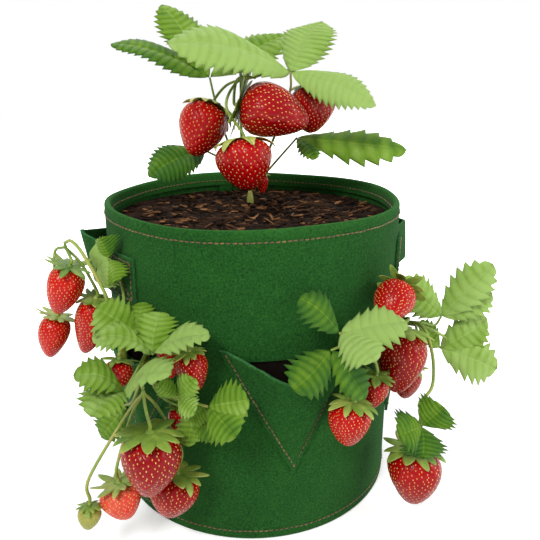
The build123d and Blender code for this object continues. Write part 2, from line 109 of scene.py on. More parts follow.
class Value:
    """A socket's number in a material. Arithmetic on it adds Math nodes."""

    def __init__(self, finish, socket):
        self.finish = finish
        self.socket = socket

    def _math(self, operation, first, second):
        return self.finish.add("ShaderNodeMath", {"operation": operation}, {0: first, 1: second})

    def __add__(self, other):
        return self._math("ADD", self, other)

    def __sub__(self, other):
        return self._math("SUBTRACT", self, other)

    def __rsub__(self, other):
        return self._math("SUBTRACT", other, self)

    def __mul__(self, other):
        return self._math("MULTIPLY", self, other)

    __radd__ = __add__


class Finish:
    """A material on one Principled shader, whose other nodes are added by add()."""

    def __init__(self, name, **constants):
        self.material = bpy.data.materials.new(name)
        self.material.use_nodes = True
        self.tree = self.material.node_tree
        self.shader = next(n for n in self.tree.nodes if n.type == "BSDF_PRINCIPLED")
        for socket, value in constants.items():
            self.shader.inputs[socket.replace("_", " ")].default_value = value

    def add(self, kind, settings, inputs, output=0):
        """A node of this kind, with its settings first and then its inputs' values or links."""
        node = self.tree.nodes.new(kind)
        for key, value in settings.items():
            if key == "stops":
                ramp = node.color_ramp.elements
                while len(ramp) < len(value):
                    ramp.new(0.5)
                for element, (place, shade) in zip(ramp, value):
                    element.position = place
                    element.color = shade
            else:
                setattr(node, key, value)
        for key, value in inputs.items():
            self.link(value, node.inputs[key])
        return Value(self, node.outputs[output])

    def link(self, value, socket):
        if isinstance(value, Value):
            self.tree.links.new(value.socket, socket)
        else:
            socket.default_value = value

    def to(self, socket, value):
        self.link(value, self.shader.inputs[socket])

    def place(self, output="Object"):
        return self.add("ShaderNodeTexCoord", {}, {}, output)

    def noise(self, scale, detail=3.0, rough=0.55, distortion=0.0):
        inputs = {"Scale": scale, "Detail": detail, "Roughness": rough, "Distortion": distortion}
        inputs["Vector"] = self.place()
        return self.add("ShaderNodeTexNoise", {}, inputs)

    def ramp(self, value, stops):
        return self.add("ShaderNodeValToRGB", {"stops": stops}, {0: value})

    def mask(self, value, low, high):
        """0 below low, 1 above high and even between them."""
        inputs = {"Value": value, "From Min": low, "From Max": high}
        return self.add("ShaderNodeMapRange", {"clamp": True}, inputs)

    def mix(self, share, first, second):
        inputs = {0: share, 6: first, 7: second}
        return self.add("ShaderNodeMix", {"data_type": "RGBA"}, inputs, 2)

    def bump(self, height, strength, distance):
        inputs = {"Height": height, "Strength": strength, "Distance": distance}
        self.to("Normal", self.add("ShaderNodeBump", {}, inputs))

    def number(self, attribute):
        return self.add("ShaderNodeAttribute", {"attribute_name": attribute}, {}, "Fac")


def felt_finish(name, deep, body, pale):
    """Pressed felt: a mottle of two to three millimetres, finer fibre and broad soft patches."""
    finish = Finish(
        name, Roughness=0.95, Specular_IOR_Level=0.15, Sheen_Weight=0.1, Sheen_Roughness=0.5
    )
    finish.shader.inputs["Sheen Tint"].default_value = colour(120, 170, 110)
    mottle = finish.noise(560, 4, 0.7)
    fibre = finish.noise(1500, 3, 0.7, distortion=1.2)
    patches = finish.noise(14, 3, 0.5)
    tone = mottle * 0.8 + fibre * 0.3 + patches * 0.2 - 0.08 + finish.number("tone") * 0.5
    finish.to("Base Color", finish.ramp(tone, [(0.40, deep), (0.58, body), (0.86, pale)]))
    finish.bump(mottle * 0.6 + fibre * 0.7, 0.55, 0.0011)
    return finish.material


def thread_finish():
    """Brown sewing thread with a fine twist."""
    finish = Finish("sewing_thread", Roughness=0.6, Sheen_Weight=0.3)
    shades = [(0.3, colour(70, 40, 18)), (0.55, colour(110, 74, 34)), (0.8, colour(152, 116, 62))]
    finish.to("Base Color", finish.ramp(finish.noise(160, 2), shades))
    finish.bump(finish.noise(2600, 2), 0.4, 0.0003)
    return finish.material


def soil_finish():
    """Dark potting soil: lumps from near black to brown, with a few tan fibres."""
    finish = Finish("potting_soil", Roughness=0.95, Specular_IOR_Level=0.1)
    lumps = finish.noise(85, 5, 0.6)
    grain = finish.noise(700, 4, 0.7)
    tone = lumps * 0.5 + grain * 0.32 + finish.number("tone") * 0.5
    shades = [
        (0.36, colour(20, 13, 9)),
        (0.50, colour(50, 33, 22)),
        (0.66, colour(92, 62, 40)),
        (0.92, colour(178, 128, 84)),
    ]
    finish.to("Base Color", finish.ramp(tone, shades))
    finish.bump(grain * 0.7 + lumps, 0.8, 0.0016)
    return finish.material


LEAF_SHADES = [
    (0.00, colour(10, 56, 30)),
    (0.25, colour(30, 84, 24)),
    (0.50, colour(62, 118, 22)),
    (0.75, colour(126, 168, 34)),
    (1.00, colour(172, 208, 108)),
]


def leaf_finish(name, shift, gloss):
    """A blade whose UV map counts side veins along it and runs from edge to edge across it."""
    finish = Finish(name, Roughness=gloss, Specular_IOR_Level=0.3)
    finish.shader.inputs["Subsurface Weight"].default_value = 0.12
    finish.shader.inputs["Subsurface Radius"].default_value = (0.001, 0.002, 0.0005)
    place = finish.place("UV")
    along = finish.add("ShaderNodeSeparateXYZ", {}, {0: place}, 0)
    across = finish.add("ShaderNodeSeparateXYZ", {}, {0: place}, 1)
    wobble = finish.noise(160, 2) * 0.24 - 0.12
    turn = finish.add("ShaderNodeMath", {"operation": "SINE"}, {0: (along + wobble) * math.pi})
    side = finish.add("ShaderNodeMath", {"operation": "ABSOLUTE"}, {0: turn})
    middle = finish.add("ShaderNodeMath", {"operation": "ABSOLUTE"}, {0: across - 0.5})
    side_vein = 1 - finish.mask(side, 0.04, 0.3)
    rib = 1 - finish.mask(middle, 0.006, 0.03)
    vein = finish.add("ShaderNodeMath", {"operation": "MAXIMUM"}, {0: side_vein * 0.55, 1: rib})
    net = finish.add("ShaderNodeTexVoronoi", {"feature": "DISTANCE_TO_EDGE"}, {"Scale": 520})
    cells = finish.mask(net, 0.0, 0.22)
    broad = finish.noise(46, 3)
    # side * 0.15 makes the blade lighter on the puffed parts between the side veins and darker in
    # the furrows along them: painted light and shade in the pleats.
    tone = finish.number("tone") + shift + broad * 0.5 - 0.25 + vein * 0.12 + side * 0.15 - 0.05
    blade = finish.ramp(tone, LEAF_SHADES)
    finish.to("Base Color", finish.mix(1 - cells, blade, finish.ramp(tone + 0.1, LEAF_SHADES)))
    finish.bump(side * 1.1 + cells * 0.3 - vein * 0.6, 0.8, 0.0012)
    return finish.material


def stem_finish():
    """Stalks from green to tan."""
    finish = Finish("stalks", Roughness=0.5, Coat_Weight=0.05)
    tone = finish.noise(30, 3) * 0.6 + finish.noise(600, 2) * 0.25
    shades = [
        (0.30, colour(92, 120, 36)),
        (0.45, colour(138, 160, 58)),
        (0.62, colour(176, 150, 84)),
    ]
    finish.to("Base Color", finish.ramp(tone, shades))
    finish.bump(finish.noise(900, 2), 0.3, 0.0004)
    return finish.material


def sepal_finish():
    """Sepals from green, by way of yellow, to dry brown at their tips."""
    finish = Finish("sepals", Roughness=0.55)
    tone = finish.noise(70, 3) * 0.55 + finish.number("tone") * 0.6 + finish.noise(900, 2) * 0.15
    shades = [
        (0.25, colour(62, 104, 30)),
        (0.50, colour(128, 156, 58)),
        (0.72, colour(186, 190, 98)),
        (0.95, colour(204, 142, 58)),
    ]
    finish.to("Base Color", finish.ramp(tone, shades))
    finish.bump(finish.noise(1100, 2), 0.4, 0.0004)
    return finish.material


def berry_finish():
    """Ripe flesh from the tone attribute: 0 is deep red, 1 is pale and 2 is green."""
    finish = Finish("berry_flesh", Specular_IOR_Level=0.13, Coat_Weight=0.06, Coat_Roughness=0.06)
    blush = finish.noise(26, 3) * 0.5 - 0.25
    tone = (finish.number("tone") + blush) * 0.5
    shades = [
        (0.00, colour(138, 4, 12)),
        (0.12, colour(190, 10, 14)),
        (0.27, colour(222, 38, 24)),
        (0.50, colour(236, 150, 118)),
        (0.72, colour(214, 196, 120)),
        (1.00, colour(120, 150, 52)),
    ]
    flesh = finish.ramp(tone, shades)
    speck = finish.noise(1300, 3)
    finish.to("Base Color", finish.mix(speck * 0.25, flesh, colour(128, 4, 10)))
    finish.to("Roughness", 0.2 + speck * 0.14)
    finish.bump(speck, 0.25, 0.0004)
    return finish.material


def seed_finish():
    """Seeds from ochre to straw."""
    finish = Finish("seeds", Roughness=0.4)
    shades = [(0.3, colour(206, 150, 52)), (0.7, colour(240, 212, 120))]
    finish.to("Base Color", finish.ramp(finish.noise(90, 2), shades))
    return finish.material


felt = felt_finish("green_felt", colour(8, 40, 13), colour(26, 78, 25), colour(52, 108, 40))
# The cut edges' felt is lighter than the faces: partly fibre wear at the cut and partly a painted
# highlight where the edges catch the light.
felt_edge = felt_finish(
    "cut_felt_edge", colour(22, 66, 34), colour(46, 104, 54), colour(84, 142, 80)
)
thread = thread_finish()
earth = soil_finish()
leaf_top = leaf_finish("leaf_upper_side", 0.0, 0.42)
leaf_under = leaf_finish("leaf_lower_side", 0.16, 0.62)
stem = stem_finish()
sepal = sepal_finish()
flesh = berry_finish()
seed = seed_finish()


# Meshes


def grid_quads(index, around):
    """Quads between the rows and columns of an array of point numbers."""
    ends = np.concatenate([index, index[:, :1]], 1) if around else index
    return np.stack([ends[:-1, :-1], ends[:-1, 1:], ends[1:, 1:], ends[1:, :-1]], -1)


class Shape:
    """Grids of points gathered into one mesh, with a UV map, a tone and a material for each."""

    def __init__(self):
        self.points, self.faces, self.uvs, self.tones, self.slots = [], [], [], [], []
        self.count = 0

    def grid(self, points, uv=None, tone=0.0, slot=0, around=False, keep=None):
        """Quads between a grid's rows and columns. around joins the last column to the first."""
        rows, columns = points.shape[:2]
        index = np.arange(rows * columns).reshape(rows, columns) + self.count
        quads = grid_quads(index, around)
        quads = quads.reshape(-1, 4) if keep is None else quads[keep]
        flat = points.reshape(-1, 3)
        self.points.append(flat)
        self.faces.append(quads)
        self.uvs.append(np.zeros((len(flat), 2)) if uv is None else uv.reshape(-1, 2))
        self.tones.append(np.broadcast_to(tone, points.shape[:2]).reshape(-1).astype(float))
        self.slots.append(np.full(len(quads), slot))
        self.count += len(flat)

    def copies(self, template, quads, places, tone=0.0, slot=0):
        """The template's points, (n, 3), carried to each place, a (m, 3, 4) array of frames."""
        flat = np.einsum("mij,nj->mni", places[:, :, :3], template) + places[:, None, :, 3]
        starts = self.count + np.arange(len(places))[:, None, None] * len(template)
        self.points.append(flat.reshape(-1, 3))
        self.faces.append((starts + quads[None]).reshape(-1, 4))
        self.uvs.append(np.zeros((len(places) * len(template), 2)))
        self.tones.append(np.full(len(places) * len(template), float(tone)))
        self.slots.append(np.full(len(places) * len(quads), slot))
        self.count += len(places) * len(template)

    def build(self, name, materials, thickness=0.0, soft_edge=0.0):
        """One object at the origin, its points merged where they meet, and given a thickness."""
        mesh = bpy.data.meshes.new(name)
        points = np.concatenate(self.points) * MM
        faces = np.concatenate(self.faces)
        mesh.from_pydata(points.tolist(), [], faces.tolist())
        layer = mesh.uv_layers.new(name="UVMap")
        layer.data.foreach_set("uv", np.concatenate(self.uvs)[faces.reshape(-1)].reshape(-1))
        tones = mesh.attributes.new("tone", "FLOAT", "POINT")
        tones.data.foreach_set("value", np.concatenate(self.tones).astype(np.float32))
        mesh.polygons.foreach_set("material_index", np.concatenate(self.slots).astype(np.int32))
        mesh.polygons.foreach_set("use_smooth", np.ones(len(faces), bool))
        for material in materials:
            mesh.materials.append(material)
        work = bmesh.new()
        work.from_mesh(mesh)
        bmesh.ops.remove_doubles(work, verts=work.verts, dist=1e-7)
        bmesh.ops.dissolve_degenerate(work, edges=work.edges, dist=1e-8)
        if not thickness:
            bmesh.ops.recalc_face_normals(work, faces=work.faces)
        work.to_mesh(mesh)
        work.free()
        mesh.validate()
        mesh.update()
        piece = bpy.data.objects.new(name, mesh)
        bpy.context.scene.collection.objects.link(piece)
        if thickness:
            wall = piece.modifiers.new("thickness", "SOLIDIFY")
            wall.thickness = thickness * MM
            wall.offset = 0.0
            wall.use_even_offset = thickness > 1
            wall.material_offset = 1 if len(materials) > 2 else 0
            wall.material_offset_rim = len(materials) - 1
        if soft_edge:
            edge = piece.modifiers.new("soft_edge", "BEVEL")
            edge.width = soft_edge * MM
            edge.segments = 2
            edge.limit_method = "ANGLE"
            edge.angle_limit = math.radians(50)
        return piece


def finish_piece(piece, body, slot_name, *nodes):
    """Says which body the piece rides and the nodes it stands for. Its slot_name is not used."""
    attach(piece, body)
    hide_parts(*nodes)
    return piece


def unit(vector):
    """The same direction at a length of 1."""
    vector = np.asarray(vector, float)
    return vector / np.maximum(np.linalg.norm(vector, axis=-1, keepdims=True), 1e-12)


def polar(azimuth, radius, height):
    """Points at an azimuth in degrees, a distance from the bag's axis and a height."""
    angle = np.radians(azimuth)
    x, y, z = np.broadcast_arrays(radius * np.sin(angle), -radius * np.cos(angle), height)
    return np.stack([x, y, z], -1)


def slack(azimuth, height):
    """How far the soft wall stands out of round: three slow waves of under a millimetre."""
    turn = np.radians(azimuth)
    rise = np.clip(height / 60, 0, 1)
    waves = 0.55 * np.sin(3 * turn + 0.6) * np.sin(height / 70 + 0.5)
    waves = waves + 0.35 * np.sin(5 * turn - height / 90) + 0.28 * np.sin(11 * turn + height / 34)
    return waves * rise


def rim_wave(azimuth, height):
    """How far the wall's upper quarter rises and falls: four waves round, growing by a square."""
    share = np.clip((height - 230) / 78, 0, 1) ** 2
    return share * 1.1 * np.sin(np.radians(4 * azimuth) + 1)


def smooth(points, count):
    """A cubic path through the points: each run is a Catmull-Rom blend of its four neighbours."""
    points = np.asarray(points, float)
    before = 2 * points[0] - points[1]
    after = 2 * points[-1] - points[-2]
    full = np.vstack([before, points, after])
    spot = np.linspace(0, len(points) - 1, count)
    run = np.minimum(spot.astype(int), len(points) - 2)
    t = (spot - run)[:, None]
    a, b, c, d = full[run], full[run + 1], full[run + 2], full[run + 3]
    cubic = 2 * b + (c - a) * t + (2 * a - 5 * b + 4 * c - d) * t**2
    return 0.5 * (cubic + (3 * b - a - 3 * c + d) * t**3)


def tube(shape, points, radii, tone=0.0, steps=8):
    """A round section carried along a smooth path, with radii blended from end to end. Each end
    closes in a low point."""
    sides = 10
    path = smooth(points, steps * (len(points) - 1) + 1)
    ways = unit(np.gradient(path, axis=0))
    guide = unit(np.cross(ways, np.array([0.31, 0.87, 0.38])))
    other = np.cross(ways, guide)
    radius = np.interp(np.linspace(0, 1, len(path)), np.linspace(0, 1, len(radii)), radii)
    turn = np.linspace(0, 2 * np.pi, sides, endpoint=False)
    cosine, sine = np.cos(turn)[None, :, None], np.sin(turn)[None, :, None]
    ring = guide[:, None] * cosine + other[:, None] * sine
    body = path[:, None] + ring * radius[:, None, None]
    first = np.repeat(path[:1, None] - ways[:1, None] * radius[0] * 0.6, sides, 1)
    last = np.repeat(path[-1:, None] + ways[-1:, None] * radius[-1] * 0.6, sides, 1)
    shape.grid(np.concatenate([first, body, last]), tone=tone, around=True)


# The bag


def bag_columns():
    """Azimuths of the wall's columns: even, with close ones at the seam at the back."""
    even = np.linspace(-180, 180, 240, endpoint=False)
    near_seam = np.array([-179.75, -179.5, -179.0, 179.0, 179.5, 179.75])
    return np.sort(np.concatenate([even[np.abs(np.abs(even) - SEAM) > 1.2], near_seam, [-180.0]]))


def make_wall():
    """The wall's middle surface: up the outside, over the rim and down inside as the hem."""
    azimuths = bag_columns()
    slit_rows = np.arange(SLIT_TOP - SLIT_HEIGHT, SLIT_TOP + 1, 3.0)
    rows = [[FELT / 2], np.arange(6, 160, 4.0), slit_rows, np.arange(195, 304, 4.0), [RIM_START]]
    climb = np.concatenate(rows)
    turn = np.linspace(0, np.pi, 9)[1:-1]
    fold = (WALL_MIDDLE - LINING_MIDDLE) / 2
    lining = np.linspace(RIM_START, HEIGHT - HEM_DEPTH, 5)
    over = WALL_MIDDLE - fold + fold * np.cos(turn)
    inside = np.full(len(lining), LINING_MIDDLE)
    radius = np.concatenate([np.full(len(climb), WALL_MIDDLE), over, inside])
    height = np.concatenate([climb, RIM_START + fold * np.sin(turn), lining])
    grid_azimuth, grid_radius = np.meshgrid(azimuths, radius)
    grid_height = np.repeat(height[:, None], len(azimuths), 1)
    seam = np.exp(-((np.abs(np.abs(grid_azimuth) - SEAM) / 0.35) ** 2))
    outside = grid_radius > WALL_MIDDLE - 0.5
    grid_radius = grid_radius + slack(grid_azimuth, grid_height) - seam * 0.9 * outside
    grid_height = grid_height + rim_wave(grid_azimuth, grid_height)
    points = polar(grid_azimuth, grid_radius, grid_height)
    middle_azimuth = azimuths + 0.5 * np.diff(np.append(azimuths, 180.0))
    middle_height = 0.5 * (height[:-1] + height[1:])
    keep = np.ones((len(height) - 1, len(azimuths)), bool)
    in_rows = (middle_height > SLIT_TOP - SLIT_HEIGHT) & (middle_height < SLIT_TOP)
    in_rows &= np.arange(len(middle_height)) < len(climb) - 1
    half_slit = np.minimum(SLIT_HALF_ANGLE, pocket_half_angle(middle_height) - SLIT_COVER)
    for azimuth in POCKETS.values():
        in_columns = np.abs(middle_azimuth - azimuth)[None] < half_slit[:, None]
        keep &= ~(in_rows[:, None] & in_columns)
    shape = Shape()
    tone = 0.03 * np.cos(np.radians(2 * grid_azimuth))
    # Lighter along the rim's top: wear and a painted highlight. The inside of the wall and hem is
    # painted lighter still: painted light against the shade inside the bag.
    tone = tone + np.clip((grid_height - 300) / 8, 0, 1) * 0.12 + 0.16 * ~outside
    shape.grid(points, tone=tone, around=True, keep=keep)
    piece = shape.build("bag_wall_felt", [felt, felt_edge], FELT, 0.5)
    return finish_piece(piece, "bag", "felt", "bag_wall")


def make_base():
    """The base disc and its turned-up edge: a profile turned about the bag's axis."""
    flat = [(0.0, 1.5), (30, 1.5), (70, 1.5), (110, 1.5), (138, 1.5)]
    turned_up = [(143.6, 2.0), (145.1, 3.6), (145.2, 13.9)]
    radius, height = np.array(flat + turned_up).T
    azimuths = np.linspace(-180, 180, 120, endpoint=False)
    shape = Shape()
    shape.grid(polar(azimuths[None], radius[:, None], height[:, None]), around=True)
    piece = shape.build("bag_base_felt", [felt, felt_edge], FELT - 0.1, 0.4)
    return finish_piece(piece, "bag", "felt", "bag_base")


def make_seam_strip():
    """The strip inside the back seam: a band of the lining's curve, from foot to hem."""
    azimuth, height = np.meshgrid(np.linspace(176.95, 183.05, 9), np.linspace(14.5, 291.5, 60))
    shape = Shape()
    shape.grid(polar(azimuth, LINING_MIDDLE + slack(azimuth, height), height))
    piece = shape.build("back_seam_strip_felt", [felt, felt_edge], FELT - 0.2, 0.4)
    return finish_piece(piece, "bag", "felt", "back_seam_strip")


def pocket_half_angle(height):
    """Half a pocket's width at a height, in degrees: even growth from its apex to its corners."""
    share = (height - POCKET_APEX) / (POCKET_CORNER - POCKET_APEX)
    return POCKET_HALF_ANGLE * np.maximum(share, 0.02)


def leaned(across, lean):
    """-1 to 1 from edge to edge, as across is, but 0 where across is lean."""
    return (across - lean) / np.where(across < lean, 1 + lean, 1 - lean)


def pocket_points(azimuth, across, up, lean):
    """A pocket's middle surface. across runs -1 to 1 from edge to edge and up 0 to 1 from the
    apex to the lip, which dips by a cosine. It lies on the wall along its sewn edges. Between them
    it bulges by a blend of a parabola, a cosine and a tent, whose crest is where across is lean."""
    lip = POCKET_CORNER - LIP_DIP * (0.5 + 0.5 * np.cos(np.pi * across)) ** 0.8
    height = POCKET_APEX + up * (lip - POCKET_APEX)
    half = pocket_half_angle(height)
    rise = np.clip((height - POCKET_APEX) / (POCKET_CORNER - POCKET_APEX), 0, 1)
    band = np.minimum(math.degrees(POCKET_BAND / RADIUS), half / 2)
    share = np.abs(leaned(np.clip(across * half / (half - band), -1, 1), lean))
    tent = 0.55 * abs(lean)
    round_part = 0.55 * (1 - share**2) + 0.225 * (1 + np.cos(np.pi * share))
    bulge = POCKET_BULGE * (1 + 0.3 * abs(lean)) * rise**1.4
    bulge = bulge * ((1 - tent) * round_part + tent * (1 - share))
    crease = across + 0.52 - 0.35 * (1 - up)
    fold = -1.5 * np.exp(-((crease / 0.05) ** 2)) * rise * up**2
    second = across - 0.66 + 0.25 * (1 - up)
    fold = fold - 0.8 * np.exp(-((second / 0.06) ** 2)) * rise * up**2
    roll = 1.6 * up**14 * (1 - across**2)
    out = (bulge + fold + roll) * (share < 1)
    turn = azimuth + across * half
    return polar(turn, PATCH_MIDDLE + slack(turn, height) + out, height)


def make_pockets():
    """The five pockets, each on its own side of the bag."""
    for name, azimuth in POCKETS.items():
        across, up = np.meshgrid(np.linspace(-1, 1, 73), np.linspace(0, 1, 56))
        points = pocket_points(azimuth, across, up, POCKET_LEAN.get(name, 0.0))
        shape = Shape()
        # Lighter over the middle of the bulge and along the lip: a painted highlight where they
        # face the light, with wear along the lip's fold.
        tone = 0.05 * (1 - across**2) * up + 0.14 * up**30
        shape.grid(points, tone=tone)
        piece = shape.build(f"{name}_felt", [felt, felt_edge], FELT, 0.6)
        finish_piece(piece, "bag", "felt", name)


def strap_path():
    """Half a strap from its sewn end to its middle: how far round, and how far out."""
    ends = np.linspace(STRAP_END, STRAP_FREE + 1.5, 12)
    angle = np.radians(ends)
    sewn = np.stack([PATCH_MIDDLE * np.sin(angle), PATCH_MIDDLE * np.cos(angle)], -1)
    free = [(39.0, 148.2), (31.0, 153.6), (20.0, 162.6), (9.0, 171.8), (3.6, 175.3), (0.0, 176.4)]
    return sewn, smooth([sewn[-1], *free], 40)[1:]


def make_handles():
    """Each strap in two halves that meet at the fold at its middle. The left one flares: its top
    edge stands up and its lower edge is drawn in."""
    for name, azimuth in HANDLES.items():
        left = name == "handle_left"
        sewn, free = strap_path()
        path = np.concatenate([sewn, free])
        along = np.concatenate([np.zeros(len(sewn)), np.linspace(0, 1, len(free))])
        ease = (along**2 * (3 - 2 * along))[:, None]
        width = np.linspace(-1, 1, 15)[None]
        height = STRAP_MIDDLE + width * STRAP_WIDTH / 2
        if left:
            height = height + ease * (6.5 + 3.5 * width)
            reach = path[:, 1:] + ease * (-7.5 + 4.5 * width)
        else:
            height = height - ease * (1.2 + 1.0 * np.abs(width))
            reach = path[:, 1:] + ease * (1.6 - 1.9 * width)
        bow = 0.7 * (1 - width**2) * np.sin(np.pi * along)[:, None]
        for side in (-1, 1):
            turn = azimuth + np.degrees(np.arctan2(side * path[:, :1], reach))
            radius = np.hypot(path[:, :1], reach) + bow
            on_wall = slack(turn, height) * (along[:, None] < 0.02)
            shape = Shape()
            shape.grid(polar(turn, radius + on_wall, height), tone=0.04 * ease + 0 * height)
            end = "front" if side * azimuth < 0 else "rear"
            piece = shape.build(f"{name}_{end}_strap", [felt, felt_edge], FELT, 0.5)
            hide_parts(name, f"{name}_ends")
            way = 1 if end == "rear" else -1
            way * 0.046
            way * 0.018
            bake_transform(piece)


def make_soil():
    """The soil's top: a disc of rings whose height is lattice noise drawn out along slanting
    furrows, with loose chips of bark and fibre strewn along them."""
    rng = np.random.default_rng(7)
    lattice = rng.random((64, 64))

    def noise(x, y):
        """Random heights on a square lattice, blended smoothly between its points."""
        i, j = np.floor(x).astype(int), np.floor(y).astype(int)
        fx, fy = x - i, y - j
        fx, fy = fx * fx * (3 - 2 * fx), fy * fy * (3 - 2 * fy)
        a, b = lattice[i % 64, j % 64], lattice[(i + 1) % 64, j % 64]
        c, d = lattice[i % 64, (j + 1) % 64], lattice[(i + 1) % 64, (j + 1) % 64]
        return (a * (1 - fx) + b * fx) * (1 - fy) + (c * (1 - fx) + d * fx) * fy

    furrow = math.radians(-12)

    def relief(x, y):
        along = x * math.cos(furrow) + y * math.sin(furrow)
        over = y * math.cos(furrow) - x * math.sin(furrow)
        rows = noise(along / 26 + 9, over / 7.5 + 30)
        clods = noise(along / 8 + 3, over / 4.2 + 11)
        crumbs = noise(x / 2.6 + 5, y / 2.4 + 17)
        return 5.2 * (rows - 0.5) + 3.4 * (clods - 0.5) + 1.7 * (crumbs - 0.5)

    radius = np.concatenate([[0.0], np.linspace(2.2, SOIL_RADIUS, 104)])
    azimuth, ring = np.meshgrid(np.linspace(-180, 180, 400, endpoint=False), radius)
    x, y = ring * np.sin(np.radians(azimuth)), -ring * np.cos(np.radians(azimuth))
    lift = relief(x, y)
    edge = np.clip((SOIL_RADIUS - ring) / 12, 0, 1)
    height = SOIL_TOP - 0.8 + lift * (0.3 + 0.7 * edge) + 1.5 * (1 - edge) ** 2
    down_radius = np.array([SOIL_RADIUS, 146.0, 143.0])
    down_height = np.array([270.0, 15.0, 4.0])
    top = polar(azimuth, ring, height)
    side = np.stack([polar(azimuth[0], r, z) for r, z in zip(down_radius, down_height)])
    foot = polar(azimuth[:1], 0.0, 4.0 + 0 * azimuth[:1])
    # Darker in the hollows of the relief and lighter on its crests: painted shade and painted
    # light.
    tone = np.clip(lift / 12, -0.35, 0.35)
    shape = Shape()
    shape.grid(
        np.concatenate([top, side, foot]),
        # The soil's side and foot are painted near black: painted shade for the soil seen through
        # the slits inside the bag.
        tone=np.concatenate([tone, np.full((4, 400), -0.4)]),
        around=True,
    )
    count = 900
    far = 140 * np.sqrt(rng.random(count))
    turn = rng.uniform(0, 2 * np.pi, count)
    cx, cy = far * np.cos(turn), far * np.sin(turn)
    heading = furrow + rng.normal(0, 0.45, count)
    long, wide = rng.uniform(2.0, 6.5, count), rng.uniform(0.8, 1.9, count)
    near = [[-1, 0, 0], [-0.5, -1, 0.1], [0.6, -0.8, -0.1]]
    far_side = [[1, 0.1, 0], [0.5, 0.9, 0.2], [-0.6, 0.8, -0.2]]
    corner, half_thick = np.array(near + far_side), (0, 0, 0.35)
    template = np.concatenate([corner + half_thick, corner - half_thick])
    ring_quads = np.array([[i, (i + 1) % 6, (i + 1) % 6 + 6, i + 6] for i in range(6)])
    caps = np.array([[0, 3, 2, 1], [0, 5, 4, 3], [6, 7, 8, 9], [6, 9, 10, 11]])
    quads = np.concatenate([ring_quads[:, ::-1], caps[:, ::-1]])
    tilt = rng.normal(0, 0.25, count)
    first = np.stack([np.cos(heading), np.sin(heading), tilt], -1) * long[:, None]
    second = np.stack([-np.sin(heading), np.cos(heading), rng.normal(0, 0.3, count)], -1)
    second = second * wide[:, None]
    third = np.cross(unit(first), unit(second)) * wide[:, None]
    middle = np.stack([cx, cy, SOIL_TOP + relief(cx, cy) * 0.9 + 0.4], -1)
    places = np.stack([first, second, third, middle], -1)
    shades = np.array([-0.1, 0.2, 0.5, 0.75])
    groups = rng.choice(4, count, p=[0.3, 0.3, 0.25, 0.15])
    for group, shade in enumerate(shades):
        shape.copies(template, quads, places[groups == group], tone=shade)
    piece = shape.build("soil_crumbs", [earth])
    finish_piece(piece, "bag", "soil", "soil")


def stitch_template():
    """A stitch: a rounded thread whose ends dip, of six sides and six rings."""
    spot = np.linspace(-1, 1, 6)
    radius = THREAD * np.sqrt(np.clip(1.02 - spot**4, 0.02, 1))
    bend = THREAD * (0.75 - 1.3 * spot**4)
    turn = np.linspace(0, 2 * np.pi, 6, endpoint=False)
    x = np.repeat((spot * STITCH_LENGTH / 2)[:, None], 6, 1)
    y = radius[:, None] * np.cos(turn) * 1.15
    z = bend[:, None] + radius[:, None] * np.sin(turn)
    quads = grid_quads(np.arange(36).reshape(6, 6), True).reshape(-1, 4)
    caps = [[0, 1, 2, 3], [0, 3, 4, 5], [33, 32, 31, 30], [35, 34, 33, 30]]
    return np.stack([x, y, z], -1).reshape(-1, 3), np.concatenate([quads[:, ::-1], caps])


def frames(azimuth, radius, height, slope, inward=False):
    """Places on the bag's side: X along the stitch, Y across it and Z off the felt."""
    azimuth, radius, height, slope = np.broadcast_arrays(
        *[np.atleast_1d(np.asarray(v, float)) for v in (azimuth, radius, height, slope)]
    )
    turn, lean = np.radians(azimuth), np.radians(slope)
    round_way = np.stack([np.cos(turn), np.sin(turn), 0 * turn], -1)
    out = np.stack([np.sin(turn), -np.cos(turn), 0 * turn], -1) * (-1 if inward else 1)
    up = np.array([0.0, 0.0, 1.0])
    first = round_way * np.cos(lean)[:, None] + up * np.sin(lean)[:, None]
    second = np.cross(out, first)
    return np.stack([first, second, out, polar(azimuth, radius, height)], -1)


